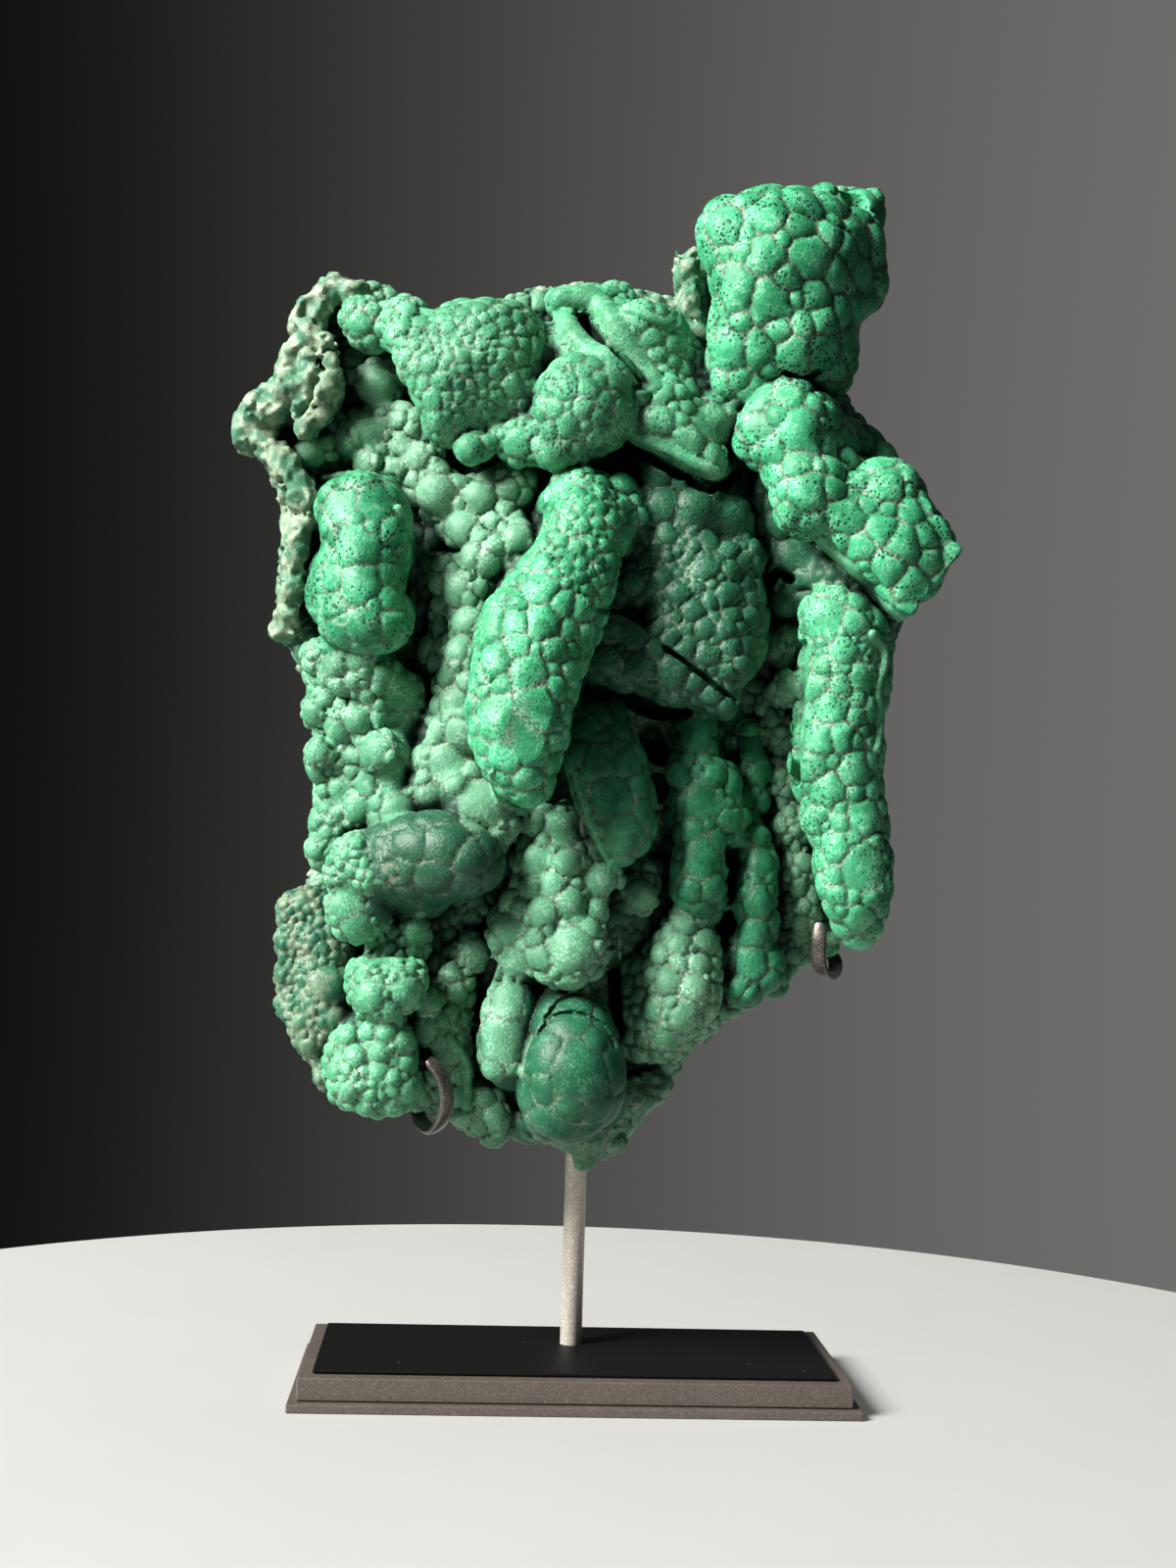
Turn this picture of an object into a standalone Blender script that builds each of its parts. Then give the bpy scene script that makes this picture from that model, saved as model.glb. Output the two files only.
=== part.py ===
"""A botryoidal malachite specimen held in a metal display stand.

Metres, +Z up, the front faces -Y. The origin is the centre of the stand's underside.
The malachite grew as one piece, so it is one solid: a crust with fingers, bulbs and
lumps fused to it. The stand is a stepped base of three plates, a round post and two
bent arms whose flattened hooks carry the lower edge of the stone.
"""

import math

import bmesh
import bpy
import numpy as np
from mathutils import Matrix, Vector

MM = 0.001

# Stand, in millimetres
BASE_WIDTH = 178.0
BASE_DEPTH = 76.0
FOOT_HEIGHT = 2.8
PLINTH_HEIGHT = 7.0
TOP_HEIGHT = 1.1
PLINTH_INSET = 2.8
TOP_INSET = 4.4
PLATE_GAP = 0.3
EDGE_ROUND = 0.4
POST_RADIUS = 3.6
POST_Y = 7.9
POST_FOOT_Z = 4.2
POST_TOP_Z = 250.0
SOCKET_CLEARANCE = 0.3
ROD_SECTION = (3.8, 3.8)
HOOK_SECTION = (4.8, 2.6)
SECTION_POINTS = 10
ARM_STEPS = 2
ARM_CLEARANCE = 0.45

# Malachite, in millimetres
EYE = Vector((-36.5, -629.5, 166.7))
CRUST_FRONT = 12.0
CRUST_BACK = -3.2
BACK_SWELL = 0.33
BACK_OVERHANG = 1.0
VOXEL = 1.3
SMOOTHING = 11
TRIANGLES = 7850

# Every place on the stone is read from the front, from the point EYE, as x and z on the
# upright plane through the origin. Forward is how far the place stands in front of that plane.
CRUST_OUTLINE = [
    (-100, 346), (-93, 359), (-72, 358), (-60, 348), (-48, 348), (-30, 357), (-5, 361), (14, 360),
    (26, 357), (31, 374), (45, 390), (62, 396), (78, 399), (90, 398), (89, 372), (84, 348), (79, 331),
    (88, 318), (101, 302), (112, 288), (116, 278), (104, 262), (97, 250), (96, 215), (93, 195),
    (97, 170), (94, 152), (80, 146), (70, 138), (52, 124), (42, 118), (33, 108), (24, 94), (14, 80),
    (4, 74), (-6, 78), (-20, 83), (-28, 79), (-36, 87), (-56, 89), (-76, 91), (-84, 105), (-94, 116),
    (-98, 135), (-98, 153), (-88, 163), (-88, 190), (-90, 215), (-95, 232), (-103, 244), (-102, 262),
    (-98, 280), (-100, 294), (-114, 304), (-119, 314), (-108, 325), (-101, 337),
]

# The cut end of the arm of lobes at the upper right: outline, back and front
CUT_BLOCK = ([(84, 292), (98, 304), (111, 296), (123, 280), (107, 258), (102, 260)], 20, 46)

# Lumps: x, z, forward and radius as seen from the front
LUMPS = {
    "head": [
        (41, 386, 36, 11), (45, 377, 34, 10), (57, 388, 38, 13), (56, 374, 40, 13), (69, 389, 32, 11),
        (69, 375, 38, 13), (76, 380, 34, 10), (84, 383, 22, 11), (85, 368, 20, 12), (50, 362, 36, 13),
        (60, 358, 34, 10), (69, 357, 36, 11), (78, 360, 32, 9), (47, 346, 33, 12), (57, 343, 32, 10),
        (68, 346, 37, 12), (78, 343, 28, 8), (45, 333, 30, 8), (52, 330, 28, 9), (76, 336, 26, 7),
        (60, 372, 18, 20), (62, 348, 16, 18), (84, 390, 12, 9), (74, 397, 22, 6), (90, 397, 12, 5),
    ],
    "arm": [
        (62, 329, 36, 9), (53, 319, 36, 7), (52, 313, 35, 6), (66, 320, 40, 11), (74, 322, 34, 8),
        (60, 312, 37, 7), (66, 306, 40, 9), (72, 298, 42, 12), (69, 290, 40, 9), (80, 308, 34, 6),
        (98, 298, 40, 13), (85, 288, 42, 9), (92, 281, 42, 10), (100, 278, 44, 10), (107, 284, 42, 9),
        (112, 282, 38, 9), (109, 272, 41, 9), (103, 266, 43, 7), (75, 310, 20, 15), (95, 290, 22, 16),
        (86, 314, 14, 8), (94, 308, 16, 8),
    ],
    "right_column": [
        (84, 252, 34, 13), (78, 256, 36, 9), (92, 246, 32, 9), (84, 240, 33, 13), (92, 232, 30, 8),
        (77, 233, 33, 7), (85, 226, 33, 12), (76, 222, 32, 8), (81, 213, 34, 13), (90, 212, 31, 8),
        (76, 203, 33, 9), (87, 203, 33, 10), (84, 194, 33, 11), (91, 190, 32, 9), (78, 187, 33, 6),
        (88, 180, 34, 11), (92, 173, 34, 10), (85, 170, 34, 8), (92, 163, 34, 10), (86, 162, 36, 6),
        (91, 154, 30, 8), (92, 150, 24, 6), (82, 235, 18, 15), (84, 210, 18, 14), (87, 185, 18, 12),
        (90, 160, 14, 10), (81, 146, 4, 5),
    ],
    "main_finger": [
        (-8, 296, 34, 8), (-3, 290, 36, 8), (8, 296, 30, 6), (13, 288, 30, 5), (16, 284, 28, 4),
        (-8, 284, 40, 9), (0, 280, 38, 9), (5, 282, 34, 5), (-10, 273, 43, 10), (-1, 270, 42, 9),
        (-13, 262, 46, 10), (-3, 260, 44, 8), (-19, 258, 45, 9), (-26, 252, 46, 10), (-14, 251, 48, 10),
        (-5, 250, 46, 8), (-30, 244, 46, 9), (-20, 240, 50, 12), (-10, 240, 46, 8), (-27, 232, 50, 12),
        (-16, 230, 50, 11), (-31, 222, 50, 10), (-20, 221, 54, 12), (-28, 212, 54, 12), (-17, 212, 54, 9),
        (-24, 203, 54, 11), (-20, 196, 52, 8), (-10, 285, 20, 14), (-18, 262, 24, 16), (-25, 240, 28, 14),
    ],
    "cut_finger": [
        (2, 215, 26, 8), (-1, 206, 30, 8), (8, 207, 32, 9), (3, 198, 34, 9), (11, 198, 34, 9),
        (5, 190, 36, 9), (14, 190, 34, 8), (10, 182, 38, 8), (15, 181, 36, 7), (11, 175, 38, 5),
        (4, 218, 14, 10),
    ],
    "arch": [
        (23, 303, 26, 11), (33, 290, 30, 9), (45, 288, 27, 8), (20, 290, 27, 8), (50, 274, 26, 8),
        (13, 278, 26, 6), (22, 276, 27, 7), (31, 276, 28, 8), (40, 270, 30, 9), (12, 265, 28, 6),
        (21, 264, 30, 7), (30, 262, 30, 8), (39, 260, 31, 8), (48, 262, 28, 8), (5, 258, 28, 6),
        (26, 252, 32, 7), (35, 250, 33, 7), (44, 248, 33, 8), (52, 254, 28, 7), (3, 250, 32, 6),
        (10, 247, 33, 6), (17, 244, 33, 5), (23, 241, 33, 4.5), (2, 238, 32, 7), (11, 235, 33, 8),
        (20, 236, 32, 6), (29, 238, 34, 6), (38, 240, 33, 7), (47, 238, 33, 8), (53, 243, 28, 6),
        (26, 229, 32, 6), (34, 230, 32, 6), (40, 228, 32, 5), (45, 224, 32, 5), (25, 280, 12, 18),
        (30, 255, 16, 18), (45, 250, 14, 14), (10, 245, 16, 12), (40, 235, 18, 10),
    ],
    "beside_arch": [
        (66, 275, 20, 9), (60, 288, 22, 7), (57, 298, 22, 6), (66, 262, 16, 8), (84, 268, 26, 13),
        (96, 262, 22, 9), (96, 252, 20, 7),
    ],
    "ledge": [
        (16, 318, 34, 8), (26, 316, 34, 8), (22, 326, 32, 9), (32, 310, 34, 7), (38, 306, 34, 6),
        (42, 322, 30, 6), (35, 318, 30, 8), (30, 326, 18, 14),
    ],
    "top_middle": [
        (8, 350, 26, 9), (16, 345, 26, 9), (18, 335, 26, 9), (27, 340, 20, 9), (22, 352, 24, 6),
        (14, 354, 28, 5), (22, 346, 26, 4), (28, 330, 26, 7), (-5, 358, 18, 7), (5, 360, 16, 7),
        (-15, 358, 18, 6), (-8, 340, 24, 12), (-8, 328, 38, 13), (-2, 322, 38, 12), (-12, 322, 38, 10),
        (2, 330, 36, 9), (-4, 316, 38, 7), (4, 316, 34, 6), (-15, 307, 38, 7), (-7, 309, 36, 4),
        (-26, 313, 34, 6), (-27, 305, 33, 4), (-33, 312, 32, 4), (-43, 307, 34, 7), (-8, 315, 22, 14),
    ],
    "top_left": [
        (-66, 352, 28, 7), (-65, 344, 32, 7), (-61, 336, 34, 8), (-56, 328, 34, 8), (-52, 320, 34, 7),
        (-52, 312, 30, 6), (-50, 344, 32, 10), (-40, 348, 32, 10), (-37, 338, 34, 10), (-48, 334, 36, 10),
        (-30, 350, 28, 8), (-28, 340, 30, 9), (-38, 326, 33, 8), (-28, 328, 32, 8), (-44, 322, 32, 6),
        (-24, 320, 30, 7), (-36, 316, 28, 7), (-45, 340, 14, 18), (-28, 335, 12, 16), (-8, 335, 16, 18),
        (-40, 315, 10, 14), (-81, 350, 24, 8), (-77, 344, 24, 7),
    ],
    "hollow": [
        (-74, 327, 12, 9), (-78, 310, 14, 9), (-72, 300, 14, 8), (-96, 304, 12, 7), (-88, 306, 10, 6),
        (-87, 313, 10, 5), (-58, 303, 18, 7), (-53, 292, 20, 9), (-64, 296, 14, 8), (-70, 314, 14, 7),
        (-62, 314, 18, 7), (-48, 283, 16, 7), (-85, 330, 6, 8), (-38, 290, 20, 9), (-42, 278, 20, 8),
        (-28, 295, 22, 9), (-30, 280, 24, 8),
    ],
    "left_column": [
        (-86, 287, 30, 8), (-76, 289, 32, 9), (-69, 286, 30, 6), (-80, 278, 34, 10), (-72, 278, 32, 9),
        (-77, 267, 36, 10), (-70, 268, 32, 8), (-84, 262, 30, 8), (-76, 256, 36, 10), (-82, 247, 34, 9),
        (-74, 247, 38, 9), (-67, 248, 36, 8), (-88, 255, 26, 8), (-80, 260, 14, 16), (-80, 282, 16, 12),
    ],
    "left_flank": [
        (-90, 236, 22, 7), (-82, 236, 28, 6), (-75, 236, 30, 6), (-84, 229, 26, 6), (-76, 228, 28, 6),
        (-68, 230, 28, 6), (-62, 224, 22, 8), (-70, 220, 26, 6), (-88, 218, 20, 7), (-80, 215, 24, 7),
        (-62, 214, 20, 7), (-74, 212, 24, 5), (-67, 204, 26, 9), (-88, 203, 22, 7), (-78, 203, 22, 6),
        (-66, 195, 24, 7), (-75, 194, 22, 6), (-84, 193, 18, 7), (-76, 186, 22, 7), (-84, 182, 20, 7),
        (-66, 186, 26, 8), (-58, 184, 26, 7), (-86, 172, 20, 7), (-80, 225, 10, 14), (-75, 200, 8, 14),
        (-78, 180, 8, 14),
    ],
    "pale_flow": [
        (-48, 264, 22, 8), (-36, 272, 26, 8), (-26, 276, 28, 8), (-40, 258, 26, 8), (-49, 252, 18, 6),
        (-48, 240, 20, 7), (-40, 246, 28, 8), (-42, 236, 30, 8), (-37, 228, 32, 8), (-46, 226, 26, 7),
        (-44, 214, 30, 8), (-51, 216, 22, 6), (-37, 214, 34, 7), (-48, 203, 28, 9), (-57, 204, 20, 6),
        (-53, 194, 26, 8), (-42, 195, 30, 9), (-38, 187, 32, 10), (-32, 190, 34, 8), (-30, 182, 32, 8),
        (-36, 178, 28, 8), (-45, 235, 10, 14), (-45, 205, 10, 15), (-35, 190, 14, 14),
    ],
    "snout": [
        (-66, 172, 28, 11), (-58, 172, 34, 12), (-50, 172, 38, 13), (-42, 171, 40, 12), (-36, 169, 40, 9),
        (-76, 171, 34, 8), (-70, 165, 36, 8), (-64, 167, 38, 7), (-80, 165, 30, 7), (-79, 153, 30, 7),
        (-75, 148, 30, 7), (-70, 152, 26, 8), (-52, 160, 24, 9), (-60, 158, 20, 8), (-66, 165, 14, 12),
    ],
    "cauliflower": [
        (-56, 147, 24, 6), (-55, 141, 20, 5), (-66, 143, 22, 6), (-66, 138, 22, 6), (-70, 128, 32, 8),
        (-60, 128, 32, 8), (-66, 123, 34, 8), (-57, 131, 30, 6), (-73, 132, 28, 5), (-75, 108, 28, 8),
        (-63, 109, 30, 9), (-73, 98, 30, 9), (-62, 98, 31, 9), (-57, 94, 28, 6), (-66, 92, 29, 7),
        (-76, 94, 26, 6), (-78, 103, 25, 6), (-67, 110, 18, 14), (-67, 100, 18, 12), (-64, 130, 18, 10),
    ],
    "left_strip": [
        (-96, 152, 14, 6), (-90, 154, 14, 7), (-96, 142, 14, 6), (-88, 142, 16, 7), (-96, 131, 14, 6),
        (-87, 131, 18, 7), (-95, 121, 14, 6), (-87, 121, 18, 7), (-90, 113, 16, 6), (-82, 125, 18, 7),
        (-82, 115, 18, 7), (-87, 107, 16, 5), (-82, 138, 14, 8), (-83, 98, 18, 5), (-84, 148, 14, 7),
    ],
    "lower_recess": [
        (-52, 122, 26, 5), (-50, 114, 22, 6), (-45, 117, 22, 4), (-43, 107, 18, 6), (-39, 101, 17, 4),
        (-38, 93, 14, 4), (-43, 128, 16, 8), (-42, 116, 14, 8), (-44, 102, 10, 8), (-36, 140, 18, 7),
        (-48, 136, 10, 8), (-46, 150, 8, 8), (-36, 155, 8, 8), (-35, 87, 12, 6), (-30, 90, 13, 7),
        (-27, 84, 14, 7), (-43, 91, 8, 5),
    ],
    "middle_column": [
        (-18, 184, 26, 7), (-10, 181, 28, 7), (-3, 186, 24, 7), (-17, 171, 30, 7), (-7, 172, 30, 8),
        (1, 176, 26, 7), (5, 165, 30, 8), (-18, 160, 30, 7), (-8, 160, 32, 8), (3, 155, 26, 8),
        (-22, 154, 28, 7), (-13, 152, 34, 8), (-2, 149, 32, 8), (-25, 146, 26, 8), (-15, 142, 32, 8),
        (-3, 141, 36, 11), (5, 142, 30, 7), (-8, 136, 32, 8), (-22, 137, 26, 7), (-28, 133, 22, 6),
        (-10, 170, 12, 16), (-12, 150, 12, 16), (-20, 130, 10, 14),
    ],
    "left_bulb": [(-23, 124, 26, 9), (-25, 115, 28, 9), (-25, 106, 28, 9), (-22, 103, 24, 8)],
    "big_bulb": [
        (-5, 124, 22, 9), (-3, 117, 28, 12), (-2, 108, 34, 14), (-3, 100, 37, 15), (1, 96, 35, 13),
        (-5, 92, 33, 12), (-8, 88, 26, 9), (-8, 105, 14, 18),
    ],
    "bottom_rock": [
        (12, 92, 16, 9), (20, 94, 12, 7), (2, 83, 16, 10), (-14, 85, 14, 7), (8, 82, 12, 8),
        (-21, 83, 12, 4), (2, 72, 8, 4), (25, 99, 8, 6),
    ],
    "twin_columns": [
        (35, 218, 18, 7), (35, 210, 20, 7), (29, 202, 22, 6), (40, 201, 24, 6), (46, 200, 22, 5),
        (36, 192, 24, 8), (43, 190, 24, 7), (37, 182, 24, 8), (41, 178, 22, 7), (37, 172, 26, 9),
        (37, 163, 26, 9), (40, 158, 22, 7), (53, 215, 12, 6), (55, 204, 12, 7), (55, 193, 14, 6),
        (48, 187, 22, 6), (56, 180, 18, 6), (58, 171, 20, 6.5), (57, 161, 22, 7), (58, 152, 20, 7),
        (55, 143, 18, 7), (60, 137, 18, 7), (53, 130, 18, 7), (49, 142, 14, 5), (64, 133, 12, 5),
        (35, 190, 8, 12), (35, 165, 10, 12), (56, 165, 8, 10), (56, 140, 8, 11),
    ],
    "pale_cone": [
        (34, 150, 20, 8), (31, 141, 22, 8), (39, 141, 20, 7), (27, 130, 22, 8), (37, 130, 24, 9),
        (30, 120, 24, 9), (40, 121, 16, 7), (28, 112, 20, 7), (20, 122, 16, 9), (17, 133, 10, 8),
        (18, 112, 12, 8), (29, 105, 8, 5), (32, 135, 10, 15), (18, 160, 24, 7), (20, 168, 16, 6),
    ],
    "right_recess": [
        (66, 231, 20, 6), (64, 245, 14, 8), (66, 215, 12, 9), (66, 200, 10, 9), (68, 185, 10, 9),
        (70, 170, 10, 9), (72, 157, 10, 8), (60, 225, 10, 7),
    ],
}

# Low swellings of the weathered back, clear of the post: x, z and radius
BACK_SWELLINGS = [
    (-86, 340, 22), (-62, 322, 34), (-30, 330, 30), (2, 328, 30), (32, 325, 28), (60, 370, 30),
    (74, 384, 18), (58, 335, 26), (-96, 308, 20), (-74, 285, 26), (-48, 288, 30), (80, 296, 28),
    (50, 290, 30), (8, 290, 30), (-72, 250, 28), (-48, 236, 34), (44, 242, 32), (70, 248, 26), (-66, 205, 26),
    (-44, 188, 30), (46, 196, 32), (72, 200, 24), (-70, 150, 28), (-50, 134, 32), (40, 158, 28),
    (70, 170, 24), (-64, 112, 24), (-34, 108, 22), (26, 124, 18),
]

# Rolls: rounded ridges, lips and shell edges along a line. Points are x, z and forward
ROLLS = [
    ([(-100, 347, 24), (-94, 357, 24), (-84, 357, 22)], 6.5),
    ([(-97, 341, 24), (-103, 333, 22)], 5.5),
    ([(-93, 338, 29), (-92, 328, 30), (-94, 318, 30), (-97, 314, 28)], 3.5),
    ([(-98, 326, 22), (-106, 321, 22), (-113, 316, 18), (-115, 311, 16)], 7.0),
    ([(-114, 308, 16), (-107, 301, 18), (-101, 294, 20), (-97, 286, 22)], 6.0),
    ([(-96, 278, 20), (-99, 269, 18), (-99, 260, 16), (-101, 252, 14), (-103, 245, 14)], 5.5),
    ([(-113, 312, 6), (-104, 300, 6), (-97, 285, 6), (-97, 268, 6), (-99, 250, 4)], 8.0),
    ([(-92, 284, 27), (-90, 275, 28), (-88, 266, 28)], 3.5),
    ([(-95, 236, 16), (-94, 226, 14), (-92, 218, 14)], 3.0),
    ([(-66, 284, 33), (-61, 274, 35), (-62, 262, 36), (-60, 252, 36), (-62, 243, 34), (-66, 237, 32)], 2.6),
    ([(10, 312, 38), (18, 311, 40), (26, 308, 40), (33, 304, 39), (40, 302, 37), (44, 306, 34)], 2.6),
    ([(-5, 310, 38), (3, 311, 40), (10, 311, 38)], 2.0),
    ([(-13, 354, 30), (-8, 347, 35), (-2, 344, 37), (5, 340, 38), (10, 334, 37), (13, 329, 35)], 4.0),
    ([(-12, 357, 28), (-4, 356, 32), (0, 349, 34), (6, 342, 35), (11, 336, 34)], 3.0),
    ([(54, 283, 30), (57, 277, 30), (56, 270, 31), (59, 264, 31), (63, 259, 31), (62, 255, 29)], 2.8),
    ([(58, 300, 26), (62, 292, 26), (63, 284, 26)], 2.2),
    ([(52, 246, 34), (56, 242, 34), (57, 236, 32)], 2.0),
    ([(28, 376, 12), (28, 366, 14), (30, 356, 16), (34, 350, 16)], 3.4),
    ([(77, 282, 40), (86, 273, 42), (95, 264, 42), (103, 257, 40)], 2.4),
    ([(99, 246, 30), (99, 238, 28), (98, 226, 28), (98, 216, 26)], 2.0),
]

# Arm centrelines, from the post to the tip of the hook
RIGHT_ARM = [
    (3.9, 7.9, 129), (22, 12, 131), (50, 13, 137), (74, 11, 143.5), (83.5, 6.0, 142),
    (84.0, 0, 138), (80.5, -10, 136), (76.5, -19, 136.8), (74.0, -24, 141), (73.6, -25.6, 147),
    (73.6, -24.8, 153.5),
]
LEFT_ARM = [
    (-3.9, 7.9, 105), (-18, 12, 104), (-38, 13, 102), (-50, 10, 98), (-53, 4.0, 91.5),
    (-52.5, -4, 87), (-50, -15, 84.8), (-46.8, -26, 85.4), (-44, -33.5, 90), (-43.2, -36.8, 97),
    (-45.2, -38, 104), (-49.3, -37.6, 108.2),
]
HOOK_STARTS = 4


def clear_scene():
    for obj in list(bpy.data.objects):
        bpy.data.objects.remove(obj, do_unlink=True)


def new_collection(name):
    collection = bpy.data.collections.new(name)
    bpy.context.scene.collection.children.link(collection)
    return collection


def material(name, colour, roughness, metallic):
    made = bpy.data.materials.new(name)
    made.use_nodes = True
    shader = made.node_tree.nodes["Principled BSDF"]
    shader.inputs["Base Color"].default_value = (*colour, 1.0)
    shader.inputs["Roughness"].default_value = roughness
    shader.inputs["Metallic"].default_value = metallic
    made.diffuse_color = (*colour, 1.0)
    return made


def node(name, mesh, collection, finish):
    """A mesh, in millimetres, as a named part of the object."""
    mesh.transform(Matrix.Scale(MM, 4))
    obj = bpy.data.objects.new(name, mesh)
    collection.objects.link(obj)
    if finish is not None:
        mesh.materials.append(finish)
    return obj


def evaluated_mesh(obj, name):
    bpy.context.view_layer.update()
    graph = bpy.context.evaluated_depsgraph_get()
    return bpy.data.meshes.new_from_object(obj.evaluated_get(graph), depsgraph=graph)


def subtract(obj, cutter, name):
    cut = obj.modifiers.new(name, "BOOLEAN")
    cut.operation = "DIFFERENCE"
    cut.solver = "EXACT"
    cut.object = cutter


def round_edges(obj, width, segments):
    bevel = obj.modifiers.new("rounded edges", "BEVEL")
    bevel.width = width * MM
    bevel.segments = segments
    bevel.limit_method = "ANGLE"


# The stand


def plate(name, inset, floor_z, height, collection, finish):
    """One tier of the base, inset evenly from the foot plate's outline."""
    shape = bmesh.new()
    bmesh.ops.create_cube(shape, size=1.0)
    size = Vector((BASE_WIDTH - 2 * inset, BASE_DEPTH - 2 * inset, height))
    bmesh.ops.scale(shape, vec=size, verts=shape.verts)
    bmesh.ops.translate(shape, vec=(0, 0, floor_z + height / 2), verts=shape.verts)
    mesh = bpy.data.meshes.new(name)
    shape.to_mesh(mesh)
    shape.free()
    obj = node(name, mesh, collection, finish)
    round_edges(obj, EDGE_ROUND, 2)
    return obj


def upright_cylinder(name, radius, low, high, collection, finish):
    shape = bmesh.new()
    place_at = Matrix.Translation((0, POST_Y, (low + high) / 2))
    bmesh.ops.create_cone(
        shape, cap_ends=True, segments=32, radius1=radius, radius2=radius, depth=high - low, matrix=place_at
    )
    mesh = bpy.data.meshes.new(name)
    shape.to_mesh(mesh)
    shape.free()
    mesh.shade_smooth()
    mesh.set_sharp_from_angle(angle=math.radians(40))
    return node(name, mesh, collection, finish)


def build_base(parts, cutters, finish, top_finish):
    """Foot plate, plinth and top plate, the upper two bored for the post."""
    plinth_z = FOOT_HEIGHT + PLATE_GAP
    top_z = plinth_z + PLINTH_HEIGHT + PLATE_GAP
    plate("foot_plate", 0, 0, FOOT_HEIGHT, parts, finish)
    plinth = plate("plinth", PLINTH_INSET, plinth_z, PLINTH_HEIGHT, parts, finish)
    top = plate("top_plate", PLINTH_INSET + TOP_INSET, top_z, TOP_HEIGHT, parts, top_finish)
    bore_floor = POST_FOOT_Z - SOCKET_CLEARANCE
    bore = upright_cylinder("post_bore", POST_RADIUS + SOCKET_CLEARANCE, bore_floor, 30, cutters, None)
    for tier in (plinth, top):
        subtract(tier, bore, "bore for the post")


def build_post(parts, finish):
    post = upright_cylinder("post", POST_RADIUS, POST_FOOT_Z, POST_TOP_Z, parts, finish)
    round_edges(post, 0.9, 3)


def smooth_path(points, steps):
    """Points along a Catmull-Rom curve through the given ones."""
    ends = [points[0] * 2 - points[1], *points, points[-1] * 2 - points[-2]]
    path = []
    for before, start, stop, after in zip(ends, ends[1:], ends[2:], ends[3:]):
        for step in range(steps):
            t = step / steps
            path.append(
                0.5 * (2 * start + (stop - before) * t
                       + (2 * before - 5 * start + 4 * stop - after) * t ** 2
                       + (3 * start - before - 3 * stop + after) * t ** 3)
            )
    return path + [points[-1]]


def arm_mesh(name, centreline, grow):
    """A round rod whose far end is forged flat and bent into a hook, grown evenly by grow."""
    points = [Vector(p) for p in centreline]
    path = smooth_path(points, ARM_STEPS)
    hook_from = HOOK_STARTS * ARM_STEPS
    tangents = [(b - a).normalized() for a, b in zip([path[0], *path[:-1]], [*path[1:], path[-1]])]
    # The flat side's width lies across the hook's own plane, and is carried back along the rod
    hook_plane = (points[-1] - points[-4]).cross(points[-5] - points[-4]).normalized()
    across = [None] * len(path)
    direction = hook_plane
    for i in reversed(range(len(path))):
        direction = (direction - tangents[i] * direction.dot(tangents[i])).normalized()
        across[i] = direction
    shape = bmesh.new()
    rings = []
    last = len(path) - 1
    for i, centre in enumerate(path):
        flat = min(1.0, max(0.0, (i - hook_from + ARM_STEPS) / (2 * ARM_STEPS)))
        flat = flat * flat * (3 - 2 * flat)
        tip = math.sqrt(max(0.0, 1 - (1 - min(1.0, (last - i) / 2)) ** 2))
        tip = 0.55 + 0.45 * tip
        width = (ROD_SECTION[0] + (HOOK_SECTION[0] - ROD_SECTION[0]) * flat) * tip / 2 + grow
        thick = (ROD_SECTION[1] + (HOOK_SECTION[1] - ROD_SECTION[1]) * flat) * tip / 2 + grow
        outward = tangents[i].cross(across[i])
        ring = []
        for k in range(SECTION_POINTS):
            angle = 2 * math.pi * k / SECTION_POINTS
            square = 1 / max(abs(math.cos(angle)), abs(math.sin(angle))) ** (0.35 * flat)
            offset = across[i] * width * math.cos(angle) + outward * thick * math.sin(angle)
            ring.append(shape.verts.new(centre + offset * square))
        rings.append(ring)
    for low, high in zip(rings, rings[1:]):
        for k in range(SECTION_POINTS):
            j = (k + 1) % SECTION_POINTS
            shape.faces.new((low[k], low[j], high[j], high[k]))
    shape.faces.new(rings[0])
    shape.faces.new(rings[-1])
    bmesh.ops.recalc_face_normals(shape, faces=shape.faces)
    mesh = bpy.data.meshes.new(name)
    shape.to_mesh(mesh)
    shape.free()
    mesh.shade_smooth()
    return mesh


def build_arms(parts, cutters, finish):
    """The two arms, and the slightly thicker copies that keep the stone clear of them."""
    seats = []
    for name, centreline in (("right_arm", RIGHT_ARM), ("left_arm", LEFT_ARM)):
        node(name, arm_mesh(name, centreline, 0), parts, finish)
        seats.append(node(name + "_seat", arm_mesh(name + "_seat", centreline, ARM_CLEARANCE), cutters, None))
    return seats


# The malachite


def seen_at(x, z, forward):
    """The point seen from EYE at x, z on the upright plane, and how much smaller things are there."""
    on_plane = Vector((x, 0, z))
    share = forward / -EYE.y
    return on_plane + (EYE - on_plane) * share, 1 - share


def sphere_shape(subdivisions):
    """The corners and the triangles of a sphere of radius one."""
    shape = bmesh.new()
    bmesh.ops.create_icosphere(shape, subdivisions=subdivisions, radius=1.0)
    corners = np.array([vert.co[:] for vert in shape.verts])
    triangles = np.array([[vert.index for vert in face.verts] for face in shape.faces])
    shape.free()
    return corners, triangles


def room_inside(x, z, outline):
    """How far a place inside an outline is from its nearest side."""
    place = Vector((x, z))
    corners = [Vector(corner) for corner in outline]
    nearest = math.inf
    for start, stop in zip(corners, corners[1:] + corners[:1]):
        side = stop - start
        share = min(1.0, max(0.0, (place - start).dot(side) / side.length_squared))
        nearest = min(nearest, (start + side * share - place).length)
    return nearest


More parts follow.
